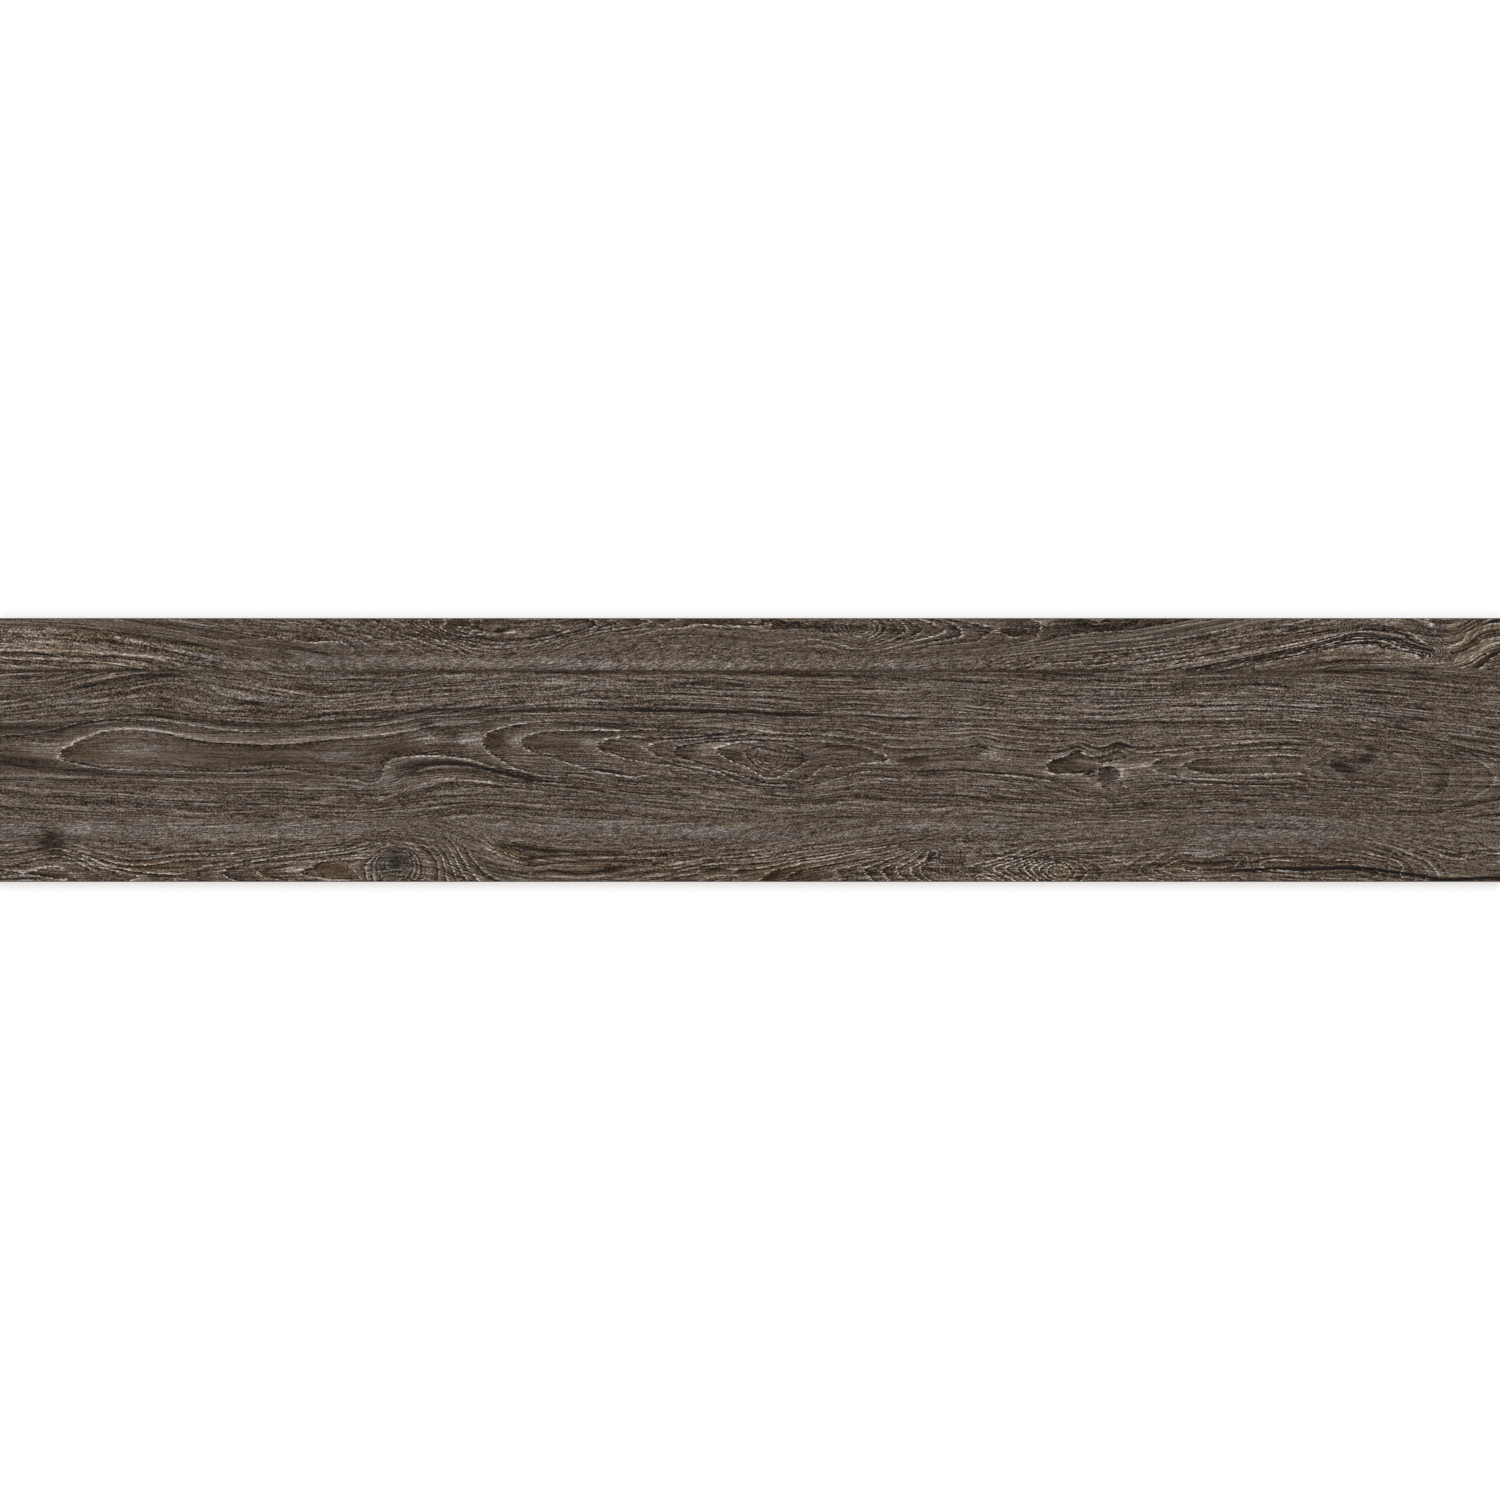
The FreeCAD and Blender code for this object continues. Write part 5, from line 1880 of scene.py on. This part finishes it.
    def make(self, figure: Figure, glaze: bpy.types.Material) -> bpy.types.Mesh:
        """Builds the pressed face.

        Args:
            figure: The wood figure.
            glaze: The face's material.

        Returns:
            The mesh, with its points in rows from the near left corner.
        """
        blank = new_object("face blank", self.grid(figure))
        run_tree(blank, self.relief_tree(), {
            "Relief": self.relief, "Half Length": self.length / 2, "Half Width": self.width / 2,
            "Rim": self.rim, "Seed": 17.0, "Material": glaze})
        return made_plain(blank)


@dataclass(frozen=True)
class KeyedBack:
    """The back's grid of shallow pockets, which key it to the adhesive.

    Attributes:
        length: A pocket's length.
        width: A pocket's width.
        depth: A pocket's depth.
        corner: How much of each corner is cut off.
        draft: The lean of a pocket's walls in degrees.
        rib: The width of the ribs between pockets.
        along: How many pockets there are along the plank.
        across: How many pockets there are across the plank.
    """

    length: float = 33.5 * MM
    width: float = 33.0 * MM
    depth: float = 0.6 * MM
    corner: float = 4.0 * MM
    draft: float = 40.0
    rib: float = 4.0 * MM
    along: int = 30
    across: int = 5

    def pitch(self) -> tuple[float, float]:
        """Gives the distance between pockets along and across the plank."""
        return self.length + self.rib, self.width + self.rib

    def reach(self) -> tuple[float, float]:
        """Gives how far the grid of pockets and ribs reaches from the middle, along and across."""
        step_x, step_y = self.pitch()
        return step_x * self.along / 2, step_y * self.across / 2

    def pocket(self) -> bpy.types.Mesh:
        """Builds one pocket with half a rib all round it.

        Returns:
            The mesh, with its pocket's mouth on z = 0 and its faces pointing down.
        """
        step_x, step_y = self.pitch()
        lean = self.depth * math.tan(math.radians(self.draft))
        points = [(x * step_x / 2, y * step_y / 2, 0.0) for x, y in ((-1, -1), (1, -1), (1, 1), (-1, 1))]
        for half_x, half_y, z in (
                (self.length / 2, self.width / 2, 0.0),
                (self.length / 2 - lean, self.width / 2 - lean, self.depth)):
            cut = self.corner
            points += [
                (-half_x + cut, -half_y, z), (half_x - cut, -half_y, z), (half_x, -half_y + cut, z),
                (half_x, half_y - cut, z), (half_x - cut, half_y, z), (-half_x + cut, half_y, z),
                (-half_x, half_y - cut, z), (-half_x, -half_y + cut, z)]
        mouth, floor = range(4, 12), range(12, 20)
        faces = [tuple(reversed(floor))]
        faces += [(mouth[i], floor[i], floor[(i + 1) % 8], mouth[(i + 1) % 8]) for i in range(8)]
        # Half a rib beside each side of the pocket, then a triangle at each cut corner
        faces += [(0, mouth[0], mouth[1], 1), (1, mouth[2], mouth[3], 2), (2, mouth[4], mouth[5], 3),
                  (3, mouth[6], mouth[7], 0)]
        faces += [(1, mouth[1], mouth[2]), (2, mouth[3], mouth[4]), (3, mouth[5], mouth[6]),
                  (0, mouth[7], mouth[0])]
        mesh = bpy.data.meshes.new("pocket")
        mesh.from_pydata(points, [], faces)
        return mesh

    def tree(self) -> bpy.types.NodeTree:
        """Builds the tree that sets the pocket out over the back.

        Returns:
            The Geometry Nodes tree.
        """
        tree, wiring, sockets, end = new_group(
            "GeometryNodeTree", "Keyed back", {"Span Along": 1.0, "Span Across": 0.1},
            {"Geometry": "NodeSocketGeometry"})
        for label, kind in (("Count Along", "Int"), ("Count Across", "Int"), ("Material", "Material")):
            tree.interface.new_socket(label, in_out="INPUT", socket_type="NodeSocket" + kind)
        start = next(node for node in tree.nodes if node.type == "GROUP_INPUT")
        centres = wiring.add(
            "GeometryNodeMeshGrid", Size_X=sockets["Span Along"], Size_Y=sockets["Span Across"],
            Vertices_X=start.outputs["Count Along"], Vertices_Y=start.outputs["Count Across"])
        set_out = wiring.add("GeometryNodeInstanceOnPoints", Points=centres.outputs["Mesh"],
                             Instance=sockets["Geometry"])
        real = wiring.add("GeometryNodeRealizeInstances", Geometry=set_out.outputs[0])
        welded = wiring.add("GeometryNodeMergeByDistance", Geometry=real.outputs[0], Distance=0.02 * MM)
        fired = wiring.add("GeometryNodeSetMaterial", Geometry=welded.outputs[0],
                           Material=start.outputs["Material"])
        wiring.feed(fired.outputs[0], end.inputs["Geometry"])
        return tree

    def make(self, fired: bpy.types.Material) -> bpy.types.Mesh:
        """Builds the grid of pockets.

        Args:
            fired: The back's material.

        Returns:
            The mesh.
        """
        step_x, step_y = self.pitch()
        cell = new_object("pocket cell", self.pocket())
        run_tree(cell, self.tree(), {
            "Span Along": step_x * (self.along - 1), "Span Across": step_y * (self.across - 1),
            "Count Along": self.along, "Count Across": self.across, "Material": fired})
        return made_plain(cell)


@dataclass(frozen=True)
class BakeSheet:
    """The square sheet on which the whole surface is laid out flat for the exported model.

    Attributes:
        pixels: The sheet's side in pixels.
        gap: The pixels left round each strip.
        face_scale: Pixels to a metre of the face.
        plain_scale: Pixels to a metre of the back and the edges.
        edge_row: The pixels that an edge with its bevel is high.
        bevel_foot: How far up such a row the bevel starts, from 0 to 1.
        second_end: How far along their row the left end starts after the right one, in metres.
    """

    pixels: int = 1024
    gap: float = 4.0
    face_scale: float = 1780.0
    plain_scale: float = 889.0
    edge_row: float = 20.0
    bevel_foot: float = 0.85
    second_end: float = 0.3

    def face(self, x: np.ndarray, y: np.ndarray, on_left: np.ndarray) -> np.ndarray:
        """Places points of the face, whose left and right halves lie one above the other.

        Args:
            x: Places along the plank in metres.
            y: Places across the plank in metres.
            on_left: Whether each point belongs to the left half.

        Returns:
            Places on the sheet from 0 to 1.
        """
        start = np.where(on_left, PLANK_LENGTH / 2, 0.0)
        lift = np.where(on_left, PLANK_WIDTH * self.face_scale + self.gap, 0.0)
        return np.stack((self.gap + (x + start) * self.face_scale,
                         self.gap + lift + (y + PLANK_WIDTH / 2) * self.face_scale), axis=-1) / self.pixels

    def back(self, x: np.ndarray, y: np.ndarray) -> np.ndarray:
        """Places points of the back.

        Args:
            x: Places along the plank in metres.
            y: Places across the plank in metres.

        Returns:
            Places on the sheet from 0 to 1.
        """
        floor = 2 * PLANK_WIDTH * self.face_scale + 3 * self.gap
        return np.stack((self.gap + (x + PLANK_LENGTH / 2) * self.plain_scale,
                         floor + (y + PLANK_WIDTH / 2) * self.plain_scale), axis=-1) / self.pixels

    def edge(self, side: int, run: np.ndarray, rise: np.ndarray) -> np.ndarray:
        """Places points of one ground edge.

        Args:
            side: Which of the four edges, the long ones being 0 and 2.
            run: How far along the edge each point is, in metres.
            rise: How far up the edge each point is, from 0 to 1.

        Returns:
            Places on the sheet from 0 to 1.
        """
        floor = PLANK_WIDTH * (2 * self.face_scale + self.plain_scale) + 4 * self.gap
        row = {0: 0, 2: 1, 1: 2, 3: 2}[side]
        shift = self.second_end * self.plain_scale if side == 3 else 0.0
        return np.stack((self.gap + shift + run * self.plain_scale,
                         floor + row * (self.edge_row + self.gap) + rise * self.edge_row),
                        axis=-1) / self.pixels


@dataclass(frozen=True)
class PlankTile:
    """The whole fired piece, closed from its pressed face to its keyed back.

    Attributes:
        length: Its length.
        width: Its width.
        thickness: Its thickness.
        bevel: The bevel ground round its face.
        back: Its keyed back.
        sheet: Where its surface lies on the exported model's picture.
    """

    length: float = PLANK_LENGTH
    width: float = PLANK_WIDTH
    thickness: float = PLANK_THICKNESS
    bevel: float = 0.6 * MM
    back: KeyedBack = KeyedBack()
    sheet: BakeSheet = BakeSheet()

    def face(self) -> PressedFace:
        """Gives the pressed face inside the bevel."""
        return PressedFace(self.length - 2 * self.bevel, self.width - 2 * self.bevel, self.thickness)

    def rim_order(self, face: PressedFace) -> list[np.ndarray]:
        """Lists the face's border points, side by side.

        Args:
            face: The pressed face.

        Returns:
            The point numbers along the near, right, far and left sides, each with both corners.
        """
        across = face.columns + 1
        last = across * face.rows
        return [
            np.arange(0, across), np.arange(0, face.rows + 1) * across + face.columns,
            np.arange(last + face.columns, last - 1, -1), np.arange(face.rows, -1, -1) * across]

    def outline(self, rim: np.ndarray, half: tuple[float, float], z: float) -> np.ndarray:
        """Stretches the border of the face to a larger outline.

        Args:
            rim: The border points of the face.
            half: Half the length and width of the larger outline.
            z: Its height.

        Returns:
            The points of the larger outline.
        """
        reach = np.abs(rim[:, :2]).max(axis=0)
        moved = rim.copy()
        moved[:, 0] *= half[0] / reach[0]
        moved[:, 1] *= half[1] / reach[1]
        moved[:, 2] = z
        return moved

    def border_faces(self, outer: list[int], inner: list[int], points: np.ndarray) -> list[tuple[int, ...]]:
        """Fills the plain border between the outline of the back and one side of its pockets.

        Args:
            outer: The outline's points along the side.
            inner: The pocket grid's points along the same side.
            points: All points.

        Returns:
            Triangles that point down.
        """
        way = points[outer[-1]] - points[outer[0]]
        way = way / np.linalg.norm(way)
        faces, i, j = [], 0, 0
        while i < len(outer) - 1 or j < len(inner) - 1:
            next_out = points[outer[i + 1]] @ way if i < len(outer) - 1 else math.inf
            next_in = points[inner[j + 1]] @ way if j < len(inner) - 1 else math.inf
            if next_out <= next_in:
                faces.append((outer[i + 1], outer[i], inner[j]))
                i += 1
            else:
                faces.append((inner[j + 1], outer[i], inner[j]))
                j += 1
        return faces

    def make(self, figure: Figure, finishes: dict[Finish, bpy.types.Material]) -> bpy.types.Object:
        """Builds the tile as one closed mesh.

        Args:
            figure: The wood figure.
            finishes: The materials of its face, its ground edges and its back.

        Returns:
            The tile's object.
        """
        face = self.face()
        top = face.make(figure, finishes[Finish.FACE])
        keyed = self.back.make(finishes[Finish.BACK])
        top_points, back_points = points_of(top), points_of(keyed)
        sides = self.rim_order(face)
        rim = np.concatenate([side[:-1] for side in sides])
        half = (self.length / 2, self.width / 2)
        shoulder = self.outline(top_points[rim], half, self.thickness - self.bevel)
        foot = self.outline(top_points[rim], half, 0.0)
        points = np.concatenate((top_points, shoulder, foot, back_points))
        shoulder_at, foot_at = len(top_points), len(top_points) + len(rim)
        back_at = foot_at + len(rim)
        faces = [tuple(polygon.vertices) for polygon in top.polygons]
        slots, starts = [Finish.FACE.value] * len(faces), np.cumsum([0] + [len(side) - 1 for side in sides])
        count = len(rim)
        for here in range(count):
            after = (here + 1) % count
            faces.append((shoulder_at + here, shoulder_at + after, int(rim[after]), int(rim[here])))
            faces.append((foot_at + here, foot_at + after, shoulder_at + after, shoulder_at + here))
        slots += [Finish.GROUND.value] * (2 * count)
        faces += [tuple(back_at + corner for corner in polygon.vertices) for polygon in keyed.polygons]
        reach = np.array(self.back.reach())
        for side, start in enumerate(starts[:-1]):
            outer = [foot_at + (start + step) % count for step in range(len(sides[side]))]
            axis = 1 if side in (0, 2) else 0
            sign = -1.0 if side in (0, 3) else 1.0
            on_side = np.flatnonzero(np.abs(back_points[:, axis] - sign * reach[axis]) < 0.1 * MM)
            way = 1.0 if side in (0, 1) else -1.0
            inner = [int(back_at + n) for n in on_side[np.argsort(way * back_points[on_side, 1 - axis])]]
            faces += self.border_faces(outer, inner, points)
        slots += [Finish.BACK.value] * (len(faces) - len(slots))
        mesh = bpy.data.meshes.new("plank tile")
        mesh.from_pydata(points.tolist(), [], faces)
        for finish in Finish:
            mesh.materials.append(finishes[finish])
        mesh.polygons.foreach_set("material_index", slots)
        mesh.polygons.foreach_set("use_smooth", [slot == Finish.FACE.value for slot in slots])
        self.carry_layers(top, mesh)
        self.lay_out(mesh, np.array(slots), shoulder_at)
        mesh.validate()
        for spare in (top, keyed):
            bpy.data.meshes.remove(spare)
        return new_object("printed_plank", mesh)

    def carry_layers(self, top: bpy.types.Mesh, mesh: bpy.types.Mesh) -> None:
        """Copies the figure's layers from the face's mesh onto the whole tile's.

        Args:
            top: The face's mesh, whose points come first in the tile's.
            mesh: The tile's mesh.
        """
        for layer in Layer:
            source = top.attributes[layer.value]
            field, size = ("value", 1) if source.data_type == "FLOAT" else ("vector", 3)
            values = np.zeros(len(mesh.vertices) * size, np.float32)
            source.data.foreach_get(field, values[:len(top.vertices) * size])
            target = mesh.attributes.new(layer.value, source.data_type, "POINT")
            target.data.foreach_set(field, values)

    def lay_out(self, mesh: bpy.types.Mesh, slots: np.ndarray, shoulder_at: int) -> None:
        """Lays the surface out on the sheet for the exported model.

        Args:
            mesh: The tile's mesh.
            slots: The material slot of each face.
            shoulder_at: The first point below the pressed face.
        """
        points = points_of(mesh)
        corners = np.empty(len(mesh.loops), np.int32)
        mesh.loops.foreach_get("vertex_index", corners)
        totals = np.empty(len(mesh.polygons), np.int32)
        mesh.polygons.foreach_get("loop_total", totals)
        owner = np.repeat(np.arange(len(totals)), totals)
        x, y, z = points[corners].T
        centre = np.stack([np.bincount(owner, line) / totals for line in (x, y, z)], axis=-1)[owner]
        slot = slots[owner]
        places = self.sheet.back(x, y)
        on_face = slot == Finish.FACE.value
        places[on_face] = self.sheet.face(x, y, centre[:, 0] < 0)[on_face]
        tops = np.where(corners < shoulder_at, 1.0, np.where(z > MM, self.sheet.bevel_foot, 0.0))
        gaps = self.length / 2 - np.abs(centre[:, 0]), self.width / 2 - np.abs(centre[:, 1])
        on_end = gaps[0] < gaps[1]
        for side in range(4):
            ends = side in (1, 3)
            positive = (centre[:, 0] > 0) if ends else (centre[:, 1] > 0)
            mine = (slot == Finish.GROUND.value) & (on_end == ends) & (positive == (side in (1, 2)))
            run = y + self.width / 2 if ends else x + self.length / 2
            places[mine] = self.sheet.edge(side, run, tops)[mine]
        layout = mesh.uv_layers.new(name="OFBake")
        layout.data.foreach_set("uv", places.ravel())


# The studio


@dataclass(frozen=True)
class Studio:
    """Plain soft light, a pale floor and the camera straight above the tile.

    Attributes:
        view_width: What the square picture takes in at the face's height.
        face_height: The face's height above the floor.
        lens: The camera's focal length in millimetres.
        sky: The light from all round.
        key: The strength of the sun from the far left.
        fill: The strength of the weaker sun from the near right.
        softness: How wide both suns look, in degrees.
        floor_tone: The floor's lightness.
        floor_glow: How much the floor shines towards the camera, so that it looks white.
        floor_reach: How far the floor reaches from the middle.
        floor_drop: How far the floor lies below the back.
    """

    view_width: float = 1.137
    face_height: float = PLANK_THICKNESS
    lens: float = 200.0
    sky: float = 0.60
    key: float = 0.95
    fill: float = 0.45
    softness: float = 40.0
    floor_tone: float = 0.62
    floor_glow: float = 0.44
    floor_reach: float = 9.0
    floor_drop: float = 0.2 * MM

    def make_camera(self) -> bpy.types.Object:
        """Places the camera.

        Returns:
            The camera.
        """
        data = bpy.data.cameras.new("camera above")
        data.lens, data.sensor_fit = self.lens, "HORIZONTAL"
        data.clip_start, data.clip_end = 0.1, 50.0
        camera = bpy.data.objects.new("camera above", data)
        distance = self.view_width * self.lens / data.sensor_width
        camera.location = (0.0, 0.0, self.face_height + distance)
        bpy.context.scene.collection.objects.link(camera)
        bpy.context.scene.camera = camera
        return camera

    def make_sun(self, name: str, strength: float, turn: tuple[float, float]) -> bpy.types.Object:
        """Places one broad sun.

        Args:
            name: Its name.
            strength: Its strength.
            turn: Its lean from straight above and its turn about Z, in degrees.

        Returns:
            The lamp.
        """
        data = bpy.data.lights.new(name, "SUN")
        data.energy, data.angle = strength, math.radians(self.softness)
        lamp = bpy.data.objects.new(name, data)
        lamp.rotation_euler = (math.radians(turn[0]), 0.0, math.radians(turn[1]))
        bpy.context.scene.collection.objects.link(lamp)
        return lamp

    def make_world(self) -> bpy.types.World:
        """Builds the surroundings: white to the eye, and a softer light on the object.

        Returns:
            The world.
        """
        world = bpy.data.worlds.new("studio")
        world.use_nodes = True
        wiring = Wiring(world.node_tree)
        seen = self.seen(wiring)
        strength = wiring.maths("MULTIPLY_ADD", seen, 1.0 - self.sky, self.sky)
        shell = next(node for node in wiring.tree.nodes if node.type == "BACKGROUND")
        shell.inputs["Color"].default_value = (1.0, 1.0, 1.0, 1.0)
        wiring.feed(strength, shell.inputs["Strength"])
        bpy.context.scene.world = world
        return world

    def seen(self, wiring: Wiring) -> Socket:
        """Tells rays that see the surroundings from rays that only light the object.

        Args:
            wiring: The tree that it goes into.

        Returns:
            1 for camera, glossy and transmission rays.
        """
        path = wiring.add("ShaderNodeLightPath")
        seen = wiring.maths("MAXIMUM", path.outputs["Is Camera Ray"], path.outputs["Is Glossy Ray"])
        return wiring.maths("MAXIMUM", seen, path.outputs["Is Transmission Ray"])

    def make_floor(self) -> bpy.types.Object:
        """Builds the pale floor that the tile lies on.

        Returns:
            The floor.
        """
        mesh = bpy.data.meshes.new("floor")
        reach = self.floor_reach
        mesh.from_pydata([(-reach, -reach, 0), (reach, -reach, 0), (reach, reach, 0), (-reach, reach, 0)],
                         [], [(0, 1, 2, 3)])
        material, wiring, shader = new_material("pale floor")
        shader.inputs["Base Color"].default_value = (*[self.floor_tone] * 3, 1.0)
        shader.inputs["Roughness"].default_value = 1.0
        shader.inputs["Specular IOR Level"].default_value = 0.0
        shader.inputs["Emission Strength"].default_value = self.floor_glow
        wiring.feed(wiring.triple(*[self.seen(wiring)] * 3), shader.inputs["Emission Color"])
        mesh.materials.append(material)
        floor = new_object("studio_floor", mesh)
        floor.location.z = -self.floor_drop
        return floor

    def make(self) -> None:
        """Builds the camera, the lamps, the world and the floor."""
        self.make_camera()
        self.make_sun("key sun", self.key, (30.0, 150.0))
        self.make_sun("fill sun", self.fill, (36.0, -50.0))
        self.make_world()
        self.make_floor()
        bpy.context.scene.view_settings.view_transform = "Standard"


def main() -> None:
    """Builds the tile and the studio, in order."""
    logging.basicConfig(level=logging.INFO, format="%(message)s")
    speckle = speckle_group()
    tile = PlankTile()
    finishes = {
        Finish.FACE: PrintedWood(WoodFibres().make(), GrowthRings().make()).make(),
        Finish.GROUND: GroundBody(speckle).make(),
        Finish.BACK: KilnBack(speckle, tile.back.depth).make(),
    }
    piece = tile.make(FIGURE, finishes)
    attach(piece, BODY)
    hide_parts(NODE)
    log.info("%s: %d faces, %d points", piece.name, len(piece.data.polygons), len(piece.data.vertices))
    Studio().make()
    log.info("studio ready")


if __name__ == "__main__":
    main()
